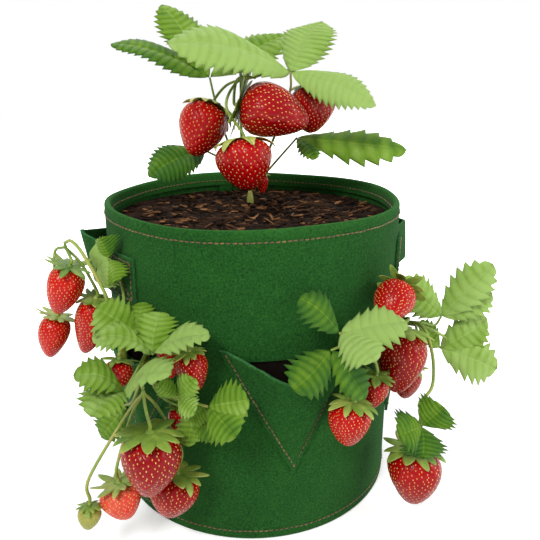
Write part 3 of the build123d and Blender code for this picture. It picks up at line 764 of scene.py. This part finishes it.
def make_stitching():
    """Rows of stitches: rim, foot, back seam, both edges of each pocket, and crossed boxes."""
    template, quads = stitch_template()
    rng = np.random.default_rng(3)

    def sew(node, name, places):
        places = places.copy()
        places[:, :, 3] += rng.normal(0, 0.12, (len(places), 3))
        shape = Shape()
        shape.copies(template, quads, places)
        piece = shape.build(name, [thread])
        finish_piece(piece, "bag", "thread", node)

    def ring(radius, height, inward=False):
        count = round(2 * math.pi * radius / STITCH_PITCH)
        azimuth = np.arange(count) * 360 / count - 180
        level = height + rim_wave(azimuth, height)
        return frames(azimuth, radius + slack(azimuth, height), level, 2.0, inward)

    rim = HEIGHT - 10.5
    inner = LINING_MIDDLE - FELT / 2
    rows = np.concatenate([ring(RADIUS, rim), ring(inner, rim, True)])
    sew("rim_stitching", "rim_thread", rows)
    sew("base_stitching", "base_thread", ring(RADIUS, 10.0))

    height = np.arange(15.5, 292, STITCH_PITCH)
    seam_places = frames(SEAM, RADIUS + slack(SEAM, height), height, 90)
    sew("back_seam_stitching", "back_seam_thread", seam_places)

    places = []
    tall = POCKET_CORNER - POCKET_APEX
    count = round(math.hypot(POCKET_HALF_WIDTH, tall) / STITCH_PITCH)
    height = POCKET_APEX + tall * np.arange(2, count) / count
    slope = math.degrees(math.atan2(tall, POCKET_HALF_WIDTH))
    inset = math.degrees(STITCH_INSET / math.sin(math.radians(slope)) / RADIUS)
    for azimuth in POCKETS.values():
        for side in (-1, 1):
            turn = azimuth + side * (pocket_half_angle(height) - inset)
            places.append(frames(turn, PATCH_OUTER + slack(turn, height), height, side * slope))
    sew("pocket_stitching", "pocket_thread", np.concatenate(places))

    half_width = PATCH_OUTER * math.radians(STRAP_END - STRAP_FREE) / 2 - STITCH_INSET
    half_height = STRAP_WIDTH / 2 - STITCH_INSET
    corners = np.array([[-1, -1], [1, -1], [1, 1], [-1, 1]]) * [half_width, half_height]
    lines = [(0, 1), (1, 2), (2, 3), (3, 0), (0, 2), (1, 3)]
    for name, azimuth in HANDLES.items():
        places = []
        for side in (-1, 1):
            middle = azimuth + side * (STRAP_END + STRAP_FREE) / 2
            for start, end in lines:
                run = corners[end] - corners[start]
                steps = int(np.hypot(*run) / STITCH_PITCH)
                spots = corners[start] + run * ((np.arange(steps) + 0.5) / steps)[:, None]
                turn = middle + np.degrees(spots[:, 0] / PATCH_OUTER)
                level = STRAP_MIDDLE + spots[:, 1]
                lean = math.degrees(math.atan2(run[1], run[0]))
                places.append(frames(turn, PATCH_OUTER + slack(turn, level), level, lean))
        sew(f"{name}_stitching", f"{name}_thread", np.concatenate(places))


# Plants


class Seat:
    """Where a plant stands: its X runs round the bag, its -Y outwards and its Z up."""

    def __init__(self, azimuth, radius, height):
        turn = math.radians(azimuth)
        self.origin = polar(azimuth, radius, height)
        self.x = np.array([math.cos(turn), math.sin(turn), 0.0])
        self.y = np.array([-math.sin(turn), math.cos(turn), 0.0])

    def way(self, vector):
        x, y, z = vector
        return self.x * x + self.y * y + np.array([0.0, 0.0, z])

    def place(self, point):
        return self.origin + self.way(point)


def leaflet(shape, base, tip, width, face, tone, fold, arch, curl, droop, twist, seed_number):
    """A toothed blade. Its outline is the product of two powers of the distance along it, its
    edge is a sawtooth that leans forward, and its surface is folded along the midrib, arched from
    base to tip by a parabola less a fourth power that drops the tip, and puffed up between the side
    veins by a sine."""
    rng = np.random.default_rng(seed_number)
    along_way = unit(tip - base)
    length = np.linalg.norm(tip - base)
    up = unit(face - along_way * np.dot(face, along_way))
    aside = np.cross(up, along_way)
    teeth, per_tooth, bite = (13, 5, 0.32) if width > 48 else (7, 6, 0.46)
    u = np.arange(teeth * per_tooth + 1) / (teeth * per_tooth)
    v = np.linspace(-1, 1, 17)
    u, v = np.meshgrid(u, v, indexing="ij")
    outline = np.maximum(u, 1e-6) ** 0.72 * np.maximum(1 - u, 0) ** 0.66 / 0.3841
    tooth = (u * teeth) % 1.0
    near_edge = np.abs(v) ** 5
    half = 0.5 * width * outline
    taper = np.clip(u * 3.5, 0, 1) * np.clip((1.04 - u) * 8, 0, 1)
    reach = half * np.abs(v) * (1 + near_edge * bite * (tooth - 0.5) * taper)
    forward = 0.30 * half * np.abs(v) ** 1.5 + near_edge * tooth * 0.03 * length * taper
    x = length * u + forward * (1 - 0.9 * u**3)
    y = np.sign(v) * reach
    vein = np.abs(np.sin(np.pi * u * teeth)) ** 0.8
    puff = 0.018 * width * (vein - 0.6) * np.clip(np.abs(v) * 5, 0, 1)
    puff = puff * (1 - np.abs(v) ** 4) * taper
    side_lift = np.tan(fold) * reach - curl * reach * np.abs(v) ** 1.6
    wave = 0.035 * width * np.sin(u * 9 + rng.uniform(0, 6) + v) * np.abs(v) ** 2
    z = puff + side_lift + wave + arch * length * 4 * u * (1 - u) - droop * length * u**4
    rib = -0.02 * width * np.exp(-((v / 0.08) ** 2)) * taper
    z = z + rib
    angle = twist * (u - 0.2)
    y, z = y * np.cos(angle) - z * np.sin(angle), y * np.sin(angle) + z * np.cos(angle)
    bend = rng.uniform(-0.05, 0.05) * length
    y = y + bend * np.sin(np.pi * u)
    points = base + x[..., None] * along_way + y[..., None] * aside + z[..., None] * up
    uv = np.stack([u * teeth, 0.5 + 0.5 * v], -1)
    shade = tone + 0.06 * np.sin(3 * v + seed_number) + 0 * u
    shape.grid(points, uv=uv, tone=shade)


def berry_profile(rows):
    """Radius and depth from the cap to the tip, each as a share of the berry's own: a sine to a
    power that gives broad shoulders, drawn in towards the tip."""
    angle = np.linspace(0, np.pi, rows)
    depth = (1 - np.cos(angle)) / 2
    radius = np.sin(angle) ** 0.82 * (1.22 - 0.66 * depth**1.15)
    return radius / radius.max(), depth


def berry(shape, seeds, cap, tip, width, tone, seed_number):
    """A berry turned from its profile, made a little uneven, with a dimple round every seed. The
    seeds climb it in a spiral that turns by the golden angle and keeps them evenly apart."""
    rng = np.random.default_rng(seed_number)
    up, length = unit(cap - tip), np.linalg.norm(cap - tip)
    side = unit(np.cross(up, [0.3, 0.9, 0.1]))
    other = np.cross(up, side)
    rows, columns = (60, 96) if width > 30 else (40, 64)
    share, depth = berry_profile(rows)
    phase = rng.uniform(0, 2 * np.pi, 4)

    def uneven(turn, low):
        waves = 1 + 0.035 * np.sin(2 * turn + phase[0])
        waves = waves + 0.03 * low * np.sin(3 * turn + phase[1])
        return waves + 0.015 * np.sin(5 * turn + phase[2] + 4 * low)

    def surface(turn, radius, low):
        lean = 0.04 * width * np.sin(np.pi * low)
        around = side * np.cos(turn)[..., None] + other * np.sin(turn)[..., None]
        across = radius * uneven(turn, low)
        drop = (low * length)[..., None]
        shift = (lean * math.cos(phase[3]))[..., None]
        return cap + around * across[..., None] - up * drop + side * shift

    runs = np.hypot(np.diff(share * width / 2), np.diff(depth * length))
    area = np.cumsum(runs * (share[1:] + share[:-1]))
    area = np.concatenate([[0], area]) / area[-1]
    apart = max(3.2, 0.086 * width)
    count = int(0.74 * math.pi * width * length / (0.9 * apart**2))
    spot = (np.arange(count) + 0.6) / count
    seed_depth = np.interp(spot * 0.985 + 0.012, area, depth)
    seed_share = np.interp(seed_depth, depth, share)
    seed_turn = np.arange(count) * math.pi * (3 - math.sqrt(5))
    seed_turn = seed_turn + rng.normal(0, 0.05, count)
    places = surface(seed_turn, seed_share * width / 2, seed_depth)

    turn = np.linspace(0, 2 * np.pi, columns, endpoint=False)
    turns, lows = np.meshgrid(turn, depth)
    radii = np.repeat((share * width / 2)[:, None], columns, 1)
    points = surface(turns, radii, lows)
    middle = cap - up * length * 0.42
    outwards = unit(points - middle)
    gap = np.linalg.norm(points[:, :, None] - places[None, None], axis=-1)
    nearest = gap.min(-1)
    dimple = np.exp(-((nearest / (0.40 * apart)) ** 2))
    points = points - outwards * (DIMPLE_DEPTH * width * dimple)[..., None]
    cap_pale = 0.35 * np.exp(-lows / 0.05)
    # Paler in the dimple round each seed: a painted highlight.
    shape.grid(points, tone=tone + cap_pale + 0.10 * dimple, around=True)

    normal = unit(places - middle)
    down = unit(-up - normal * (normal @ -up)[:, None])
    cross = np.cross(normal, down)
    size = 0.30 + 0.0125 * width
    sunk = places - normal * (DIMPLE_DEPTH * width * 0.72)
    seeds.append(np.stack([down * size, cross * size * 0.62, normal * size * 0.5, sunk], -1))
    return share * width / 2, depth * length


def seed_template():
    """A seed: a drop of six sides and two rings between its ends."""
    turn = np.linspace(0, 2 * np.pi, 6, endpoint=False)
    rows = []
    for x, r in ((-1.0, 0.0), (-0.45, 0.9), (0.45, 0.75), (1.15, 0.0)):
        rows.append(np.stack([np.full(6, x), r * np.cos(turn), r * np.sin(turn)], -1))
    quads = grid_quads(np.arange(24).reshape(4, 6), True).reshape(-1, 4)
    return np.concatenate(rows), quads[:, ::-1]


def sepals(shape, cap, tip, width, profile, lift, tone, seed_number):
    """The green star on a berry: narrow pointed blades that lie over its shoulders and lift at
    their tips. Each is a grid along its length and across its width, which follows the berry's
    profile by the length of its arc and lifts off it by the square of the way along."""
    rng = np.random.default_rng(seed_number)
    up, length = unit(cap - tip), np.linalg.norm(cap - tip)
    side = unit(np.cross(up, [0.3, 0.9, 0.1]))
    other = np.cross(up, side)
    radius, depth = profile
    arc = np.append(0, np.cumsum(np.hypot(np.diff(radius), np.diff(depth))))
    count = 11
    for n in range(count):
        turn = 2 * math.pi * (n + rng.uniform(-0.25, 0.25)) / count
        long = width * rng.uniform(0.46, 0.66)
        wide = width * rng.uniform(0.18, 0.25)
        rise = lift * rng.uniform(0.4, 1.6) + 0.05
        u, v = np.meshgrid(np.linspace(0, 1, 13), np.linspace(-1, 1, 7), indexing="ij")
        outline = np.sin(np.pi * np.clip(u * 0.86 + 0.14, 0, 1)) ** 0.7
        run = 0.05 * width + u * long
        out = np.interp(run, arc, radius) + 0.9 + 0.5 * rise * long * u**2
        level = 1.0 - np.interp(run, arc, depth) + rise * long * u**2 + 0.4 * (1 - v**2) * outline
        sway = rng.uniform(-0.25, 0.25) * long * u**2
        across = v * wide / 2 * outline + sway
        radial = side * math.cos(turn) + other * math.sin(turn)
        tangent = np.cross(up, radial)
        points = cap + radial * out[..., None] + tangent * across[..., None] + up * level[..., None]
        shape.grid(points, tone=tone + rng.uniform(-0.12, 0.12) + 0.25 * u**3)
    hub = smooth([cap - up * 0.5, cap + up * 1.2, cap + up * 3.0], 5)
    tube(shape, hub, [0.11 * width, 0.085 * width, 1.5], tone=tone, steps=2)


top_seat = Seat(0, 0, SOIL_TOP)
left_seat = Seat(-60, RADIUS, SLIT_TOP)
right_seat = Seat(60, RADIUS, SLIT_TOP)
CROWN_TALL = 24.0
CROWN_RADIUS = 4.0
POCKET_SOIL = 164.0


def crown_top(side):
    """A pocket plant's crown in its seat's terms: to one side, just off the wall, in the soil."""
    turn = math.radians(side * 7.5)
    reach = RADIUS + CROWN_RADIUS + 1
    height = POCKET_SOIL + 0.4 + CROWN_TALL - SLIT_TOP
    return (reach * math.sin(turn), RADIUS - reach * math.cos(turn), height)


top_crown = (13, 65, 14.0)
left_crown = crown_top(1)
side_crown = crown_top(-1)
right_crown = crown_top(-1)

# A leaf, under its plant's name: its stalk's points from the crown to the joint, its leaflets as
# tip, width and tone, the way it faces, and how much it folds and arches. Each tone holds the
# leaflet's own green and painted light and shade: higher where the leaflet faces the light, lower
# where it lies in shade.
leaves = {
    "top_leaf_pale": (
        [(34, 44, 72), (44, 16, 122), (42, 5, 143)],
        [((-80, -12, 172), 56, 0.74), ((83, 31, 195), 50, 0.76), ((115, -43, 116), 44, 0.84)],
        (-0.2, -0.6, 0.75),
        (0.10, 0.08),
    ),
    "top_leaf_dark": (
        [(-12, 62, 70), (-26, 54, 112), (-31, 59, 138)],
        [((-128, 72, 175), 44, 0.34), ((-72, 94, 213), 46, 0.46), ((68, 88, 188), 46, 0.52)],
        (0.1, -0.5, 0.85),
        (0.22, 0.06),
    ),
    "top_leaf_low": (
        [(-8, 66, 44), (-38, 62, 62)],
        [((-102, 46, 40), 46, 0.22)],
        (-0.3, -0.7, 0.6),
        (0.2, 0.12),
    ),
    "top_leaf_right": (
        [(36, 52, 44), (58, 32, 76)],
        [((172, -5, 67), 40, 0.44), ((70, 2, 58), 20, 0.34)],
        (0.1, -0.7, 0.7),
        (0.05, 0.05),
    ),
    "left_leaf_high": (
        [(48, -18, 14), (75, -33, 24)],
        [((56, -67, 46), 34, 0.62), ((106, 0, 42), 38, 0.85), ((59, -12, 50), 30, 0.55)],
        (0.0, -0.05, 1.0),
        (0.28, 0.12),
    ),
    "left_leaf_back": (
        [(38, -14, 12), (40, -22, 26)],
        [((8, -42, 48), 34, 0.55), ((14, -52, 26), 26, 0.82), ((22, -6, 47), 22, 0.5)],
        (0.3, -0.4, 0.8),
        (0.2, 0.08),
    ),
    "left_leaf_front": (
        [(46, -20, 12), (68, -40, 16), (71, -58, -1)],
        [((54, -90, 20), 36, 0.50), ((108, -40, 24), 42, 0.95), ((82, -94, -2), 34, 0.62)],
        (0.1, -0.15, 1.0),
        (0.28, 0.14),
    ),
    "left_leaf_low": (
        [(44, -22, 4), (54, -34, -8), (51, -40, -26), (40, -42, -34)],
        [((18, -56, -70), 26, 0.40), ((14, -28, -48), 20, 0.35)],
        (0.7, -0.6, 0.3),
        (0.2, 0.05),
    ),
    "left_leaf_right": (
        [(44, -20, 0), (74, -22, -16), (109, -6, -21)],
        [((136, 14, -12), 30, 0.45), ((138, -2, -38), 30, 0.40), ((96, -16, -36), 18, 0.42)],
        (0.6, -0.6, 0.5),
        (0.2, 0.08),
    ),
    "left_leaf_small": (
        [(46, -24, -2), (84, -28, -10), (97, -26, -8)],
        [((114, -22, 12), 18, 0.55), ((118, -26, -14), 17, 0.62), ((90, -40, 6), 14, 0.5)],
        (0.6, -0.6, 0.5),
        (0.2, 0.08),
    ),
    "left_leaf_hanging": (
        [(46, -22, -1), (70, -24, -20), (92, -8, -32)],
        [((89, -14, -66), 23, 0.5), ((116, -6, -50), 20, 0.38)],
        (0.7, -0.6, 0.3),
        (-0.1, 0.0),
    ),
    "side_leaf": (
        [(-6, -12, 14), (-6, -7, 44), (-14, -6, 62), (-16, -12, 79)],
        [
            ((-22, -18, 98), 28, 0.42),
            ((2, -20, 64), 25, 0.48),
            ((-12, -24, 56), 24, 0.85),
            ((-28, -22, 58), 27, 0.98),
            ((-38, -20, 82), 27, 0.95),
        ],
        (0.2, -0.9, 0.3),
        (-0.1, 0.0),
    ),
    "right_leaf_left": (
        [(-56, 2, 22), (-96, 14, 24), (-138, 35, 33)],
        [((-143, 68, 64), 30, 0.18), ((-117, -18, 42), 36, 0.88), ((-158, 4, 22), 38, 0.97)],
        (-0.5, -0.3, 0.8),
        (0.15, 0.06),
    ),
    "right_leaf_pocket": (
        [(-56, 4, 16), (-98, 20, 14), (-134, 42, 15)],
        [((-162, 68, -12), 36, 0.28), ((-140, 10, -24), 26, 0.25)],
        (-0.8, -0.5, 0.3),
        (0.2, 0.05),
    ),
    "right_leaf_high": (
        [(-24, -30, 2), (-8, -44, -6), (-3, -50, 2)],
        [((15, -96, 56), 36, 0.72), ((-28, -12, 47), 34, 0.66), ((28, -100, 22), 28, 0.75)],
        (-0.8, -0.2, 0.5),
        (0.15, 0.08),
    ),
    "right_leaf_far": (
        [(-28, -32, 0), (-20, -50, -10), (-6, -57, -22), (-1, -52, -34)],
        [((10, -112, -56), 40, 0.74), ((26, -98, -6), 34, 0.64), ((-18, -30, 0), 20, 0.5)],
        (-0.8, -0.2, 0.55),
        (0.15, 0.08),
    ),
    "right_truss_leaf": (
        [(-71, -35, -68), (-80, -39, -80)],
        [((-78, -57, -58), 36, 0.34), ((-92, -42, -107), 38, 0.26), ((-106, -20, -76), 36, 0.32)],
        (-0.8, -0.3, 0.5),
        (0.2, 0.06),
    ),
}

# A berry: its cap, tip, width, its stalk's points, its ripeness and how far its sepals lift
still_berries = {
    "top": [((30, 74, 30), (29, 71, 9), 15, [(22, 68, 42)], 0.25, 0.2)],
    "left": [
        ((38, -42, 8), (41, -50, -15), 25, [(26, -22, 10)], 0.1, 0.3),
        ((57, -6, 18), (66, -10, -10), 21, [(40, -8, 18)], 0.3, 0.3),
        ((84, -4, 18), (91, -2, -15), 28, [(56, -14, 28)], 0.05, 0.3),
        ((66, -6, -42), (66, -12, -60), 15, [(46, -18, -2), (60, -16, -24)], 0.15, 0.3),
        ((84, 8, -44), (90, 12, -62), 15, [(46, -18, -2), (74, -8, -24)], 0.2, 0.3),
    ],
    "right": [
        ((-66, -10, 51), (-102, 2, 34), 38, [(-42, -7, 38)], 0.12, 0.4),
        ((-62, -16, 8), (-72, -12, -52), 45, [(-44, -18, 14)], 0.0, 0.3),
        ((-28, -22, -46), (-28, -20, -82), 30, [(-30, -26, 0)], 0.02, 0.3),
        ((-98, 6, -24), (-100, 10, -56), 29, [(-60, 4, 16), (-92, 12, 8)], 0.0, 0.3),
        ((-128, 22, -36), (-132, 26, -77), 38, [(-60, 4, 16), (-112, 26, 4)], 0.15, 0.3),
    ],
}

# A truss: its fixed stalk's points from the crown, its pivot and its berries
trusses = {
    "top": (
        [(2, 56, 72), (0, 36, 128), (5, 18, 148)],
        (5, 6, 143),
        [
            ((-34, 40, 109), (-58, 19, 63), 52, [(-18, 26, 132)], 0.12, 0.10),
            ((-9, 7, 113), (54, -18, 96), 54, [(-12, 8, 137)], 0.05, 0.5),
            ((75, 28, 128), (68, 20, 82), 47, [(42, 28, 146)], 0.05, 0.15),
            ((-12, -14, 80), (-11, -30, 33), 55, [(-14, 4, 134), (-26, -2, 112)], 0.10, 0.08),
        ],
    ),
    "left": (
        [(46, -24, 0), (60, -38, 2)],
        (70, -41, -6),
        [
            ((80, -44, -42), (81, -49, -99), 50, [(75, -43, -22)], 0.0, 0.25),
            ((74, -16, -100), (71, -26, -141), 43, [(64, -24, -34), (74, -10, -76)], 0.05, 0.4),
            ((40, -54, -108), (48, -53, -141), 36, [(54, -44, -36), (44, -56, -84)], 0.62, 0.5),
            ((32, -80, -122), (33, -84, -143), 20, [(58, -50, -30), (36, -79, -90)], 1.75, 0.2),
        ],
    ),
    "side": (
        [(-4, -22, 14), (2, -28, 50), (-12, -38, 88), (-30, -39, 98)],
        (-44, -39, 94),
        [
            ((-34, -42, 74), (-45, -53, 30), 33, [], 0.22, 0.55),
            ((-28, -23, 40), (-39, -34, -14), 33, [(-34, -30, 74)], 0.16, 0.5),
            ((-66, -44, 18), (-74, -53, -24), 30, [(-60, -42, 82), (-68, -41, 46)], 0.28, 0.6),
        ],
    ),
    "right": (
        [(-34, -30, 4), (-43, -43, -20), (-50, -46, -52)],
        (-71, -35, -60),
        [((-69, -33, -114), (-72, -37, -174), 52, [(-72, -37, -78)], 0.05, 0.35)],
    ),
}
plants = {
    "top": (top_seat, top_crown),
    "left": (left_seat, left_crown),
    "side": (left_seat, side_crown),
    "right": (right_seat, right_crown),
}
TRUSS_LEAF = "right_truss_leaf"
BERRY_TOUCH = 2.6
LEAF_STALK = 1.3
FRUIT_STALK = 1.4
PIVOT_DROP = 3.8
CURL = 0.35
DROOP = 0.04


def make_leaves():
    """Every compound leaf as one piece, its leaflets set round the end of its stalk."""
    for number, (name, (route, blades, face, (fold, arch))) in enumerate(leaves.items()):
        seat = plants[name.split("_")[0]][0]
        shape = Shape()
        joint = seat.place(route[-1])
        for n, (tip, width, tone) in enumerate(blades):
            end = seat.place(tip)
            start = joint + unit(end - joint) * 1.2
            twist = 0.35 * math.sin(5.1 * n + number)
            bends = (fold, arch, CURL, DROOP, twist)
            leaflet(shape, start, end, width * 1.12, seat.way(face), tone, *bends, 20 * number + n)
        piece = shape.build(f"{name}_blades", [leaf_top, leaf_under, leaf_top], 0.5)
        body = "right_truss" if name == TRUSS_LEAF else "bag"
        slot_name = "leaf_pale" if blades[0][2] > 0.6 else "leaf_dark"
        finish_piece(piece, body, slot_name, name)


def fruit_tube(shape, start_points, cap, tip):
    """A berry's own stalk, which comes down on its cap along its axis."""
    up = unit(cap - tip)
    points = [*start_points, cap + up * 7.5, cap + up * BERRY_TOUCH]
    tube(shape, points, [FRUIT_STALK * 0.9, FRUIT_STALK, FRUIT_STALK * 1.2])


def make_fruit(node_stem, body, seat, fruit, seed_number):
    """Berries with their seeds as one piece, and their sepals as another."""
    flesh_shape, sepal_shape, seeds = Shape(), Shape(), []
    shades = (0.42, 0.08, 0.3, 0.5) if node_stem == "top_truss" else (0.12, 0.22, 0.3)
    for n, (cap, tip, width, _, tone, lift) in enumerate(fruit):
        cap, tip = seat.place(cap), seat.place(tip)
        profile = berry(flesh_shape, seeds, cap, tip, width, tone, seed_number + n)
        shade = shades[n % len(shades)]
        sepals(sepal_shape, cap, tip, width, profile, lift, shade, seed_number + n)
    template, quads = seed_template()
    flesh_shape.copies(template, quads, np.concatenate(seeds), slot=1)
    piece = flesh_shape.build(f"{node_stem}_berries_flesh", [flesh, seed])
    finish_piece(piece, body, "berry", f"{node_stem}_berries")
    piece = sepal_shape.build(f"{node_stem}_calyxes_sepals", [sepal, sepal], 0.45)
    finish_piece(piece, body, "calyx", f"{node_stem}_calyxes")


def make_plants():
    """Each plant's crown and fixed stalks, its hanging truss below the pivot, and the fruit."""
    for number, (plant, (seat, crown)) in enumerate(plants.items()):
        route, pivot, fruit = trusses[plant]
        shape = Shape()
        tall, thick = (14.0, 4.2) if plant == "top" else (CROWN_TALL, CROWN_RADIUS)
        head = seat.place(crown)
        foot = head - np.array([0, 0, tall + 2.0])
        tube(shape, [foot, (foot + head) / 2, head], [thick, thick * 0.9, thick * 0.5], steps=4)
        for name, (leaf_route, *_) in leaves.items():
            if name.startswith(plant) and name != TRUSS_LEAF:
                points = [seat.place(p) for p in [crown, *leaf_route]]
                tube(shape, points, [LEAF_STALK * 1.25, LEAF_STALK, LEAF_STALK * 0.85])
        for cap, tip, _, points, *_ in still_berries.get(plant, []):
            points = [seat.place(p) for p in [crown, *points]]
            fruit_tube(shape, points, seat.place(cap), seat.place(tip))
        points = [seat.place(p) for p in [crown, *route, pivot]]
        tube(shape, points, [FRUIT_STALK * 1.2, FRUIT_STALK * 1.1])
        finish_piece(shape.build(f"{plant}_stems", [stem]), "bag", "stalk", f"{plant}_stalks")

        shape = Shape()
        start = seat.place(pivot) - np.array([0, 0, PIVOT_DROP])
        knot = [start + np.array([0, 0, 2.4]), start, start - np.array([0, 0, 1.6])]
        tube(shape, knot, [1.2, 1.9, 1.2], steps=3)
        for cap, tip, _, points, *_ in fruit:
            points = [start, *[seat.place(p) for p in points]]
            fruit_tube(shape, points, seat.place(cap), seat.place(tip))
        if plant == "right":
            points = [seat.place(p) for p in leaves[TRUSS_LEAF][0]]
            tube(shape, points, [LEAF_STALK, LEAF_STALK])
        body = f"{plant}_truss"
        piece = shape.build(f"{plant}_truss_stems", [stem])
        finish_piece(piece, body, "stalk", f"{plant}_truss_stalks")
        make_fruit(f"{plant}_truss", body, seat, fruit, 100 + 10 * number)
    for number, (plant, fruit) in enumerate(still_berries.items()):
        make_fruit(plant, "bag", plants[plant][0], fruit, 200 + 10 * number)


def dress_pocket_soil():
    """The pockets' soil keeps the solids' own shape and takes the soil's material."""
    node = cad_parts["pocket_soil"]
    node.data.materials.clear()
    node.data.materials.append(earth)


# Floor, light and camera


SEEN_BY = ("Camera", "Glossy", "Transmission")
SENSOR = 36.0
LENS = 39.59
CAMERA_PLACE = (-0.14298, -0.59555, 0.42884)
CAMERA_HEADING = 15.22
CAMERA_DIP = 18.44


def make_stage():
    """A white floor and sky. Both glow for rays that reach the camera and light the bag softly
    otherwise."""
    rows, columns = np.meshgrid(np.linspace(-1, 1, 3), np.linspace(-1, 1, 3), indexing="ij")
    shape = Shape()
    shape.grid(np.stack([columns * 6000, rows * 6000, 0 * rows - 0.2], -1))
    finish = Finish("floor", Roughness=0.9)
    finish.shader.inputs["Base Color"].default_value = (0.9, 0.9, 0.9, 1)
    rays = [finish.add("ShaderNodeLightPath", {}, {}, f"Is {way} Ray") for way in SEEN_BY]
    seen = finish.mask(rays[0] + rays[1] + rays[2], 0.0, 1.0)
    far = finish.add("ShaderNodeVectorMath", {"operation": "LENGTH"}, {0: finish.place()}, "Value")
    glow = 0.4 + finish.mask(far, 0.2, 0.7)
    finish.to("Emission Color", finish.mix(seen, (0, 0, 0, 1), glow))
    finish.shader.inputs["Emission Strength"].default_value = 1.0
    floor = shape.build("floor", [finish.material])

    world = bpy.data.worlds.new("studio")
    bpy.context.scene.world = world
    world.use_nodes = True
    tree = world.node_tree
    background = next(n for n in tree.nodes if n.type == "BACKGROUND")
    path = tree.nodes.new("ShaderNodeLightPath")
    total = path.outputs[f"Is {SEEN_BY[0]} Ray"]
    for way in SEEN_BY[1:]:
        both = tree.nodes.new("ShaderNodeMath")
        tree.links.new(total, both.inputs[0])
        tree.links.new(path.outputs[f"Is {way} Ray"], both.inputs[1])
        total = both.outputs[0]
    strength = tree.nodes.new("ShaderNodeMapRange")
    strength.inputs["To Min"].default_value = 0.55
    strength.inputs["To Max"].default_value = 1.0
    tree.links.new(total, strength.inputs["Value"])
    tree.links.new(strength.outputs[0], background.inputs["Strength"])
    background.inputs["Color"].default_value = (1, 1, 1, 1)


def make_lamp(name, place, aim, size, power):
    """A square lamp, its size and places in metres and its power in watts."""
    data = bpy.data.lights.new(name, "AREA")
    data.size = size
    data.energy = power
    lamp = bpy.data.objects.new(name, data)
    bpy.context.scene.collection.objects.link(lamp)
    way = np.array(aim) - np.array(place)
    lamp.location = place
    lamp.rotation_mode = "QUATERNION"
    lamp.rotation_quaternion = Vector(way.tolist()).to_track_quat("-Z", "Y")


def make_camera():
    """The photograph's view. Its place is in metres, its lens in millimetres."""
    data = bpy.data.cameras.new("camera")
    data.sensor_width = SENSOR
    data.lens = LENS
    camera = bpy.data.objects.new("camera", data)
    bpy.context.scene.collection.objects.link(camera)
    camera.location = CAMERA_PLACE
    camera.rotation_euler = (math.radians(90 - CAMERA_DIP), 0, math.radians(-CAMERA_HEADING))
    bpy.context.scene.camera = camera


make_wall()
make_base()
make_seam_strip()
make_pockets()
make_handles()
make_soil()
make_stitching()
make_leaves()
make_plants()
dress_pocket_soil()
make_stage()
make_lamp("key", (-0.9, -1.2, 1.5), (0, 0, 0.2), 0.45, 22)
make_lamp("fill", (1.5, -0.8, 0.9), (0, 0, 0.2), 1.0, 14)
make_lamp("back", (0.2, 1.4, 1.4), (0, 0, 0.25), 1.2, 12)
make_camera()
bpy.context.scene.view_settings.view_transform = "Standard"
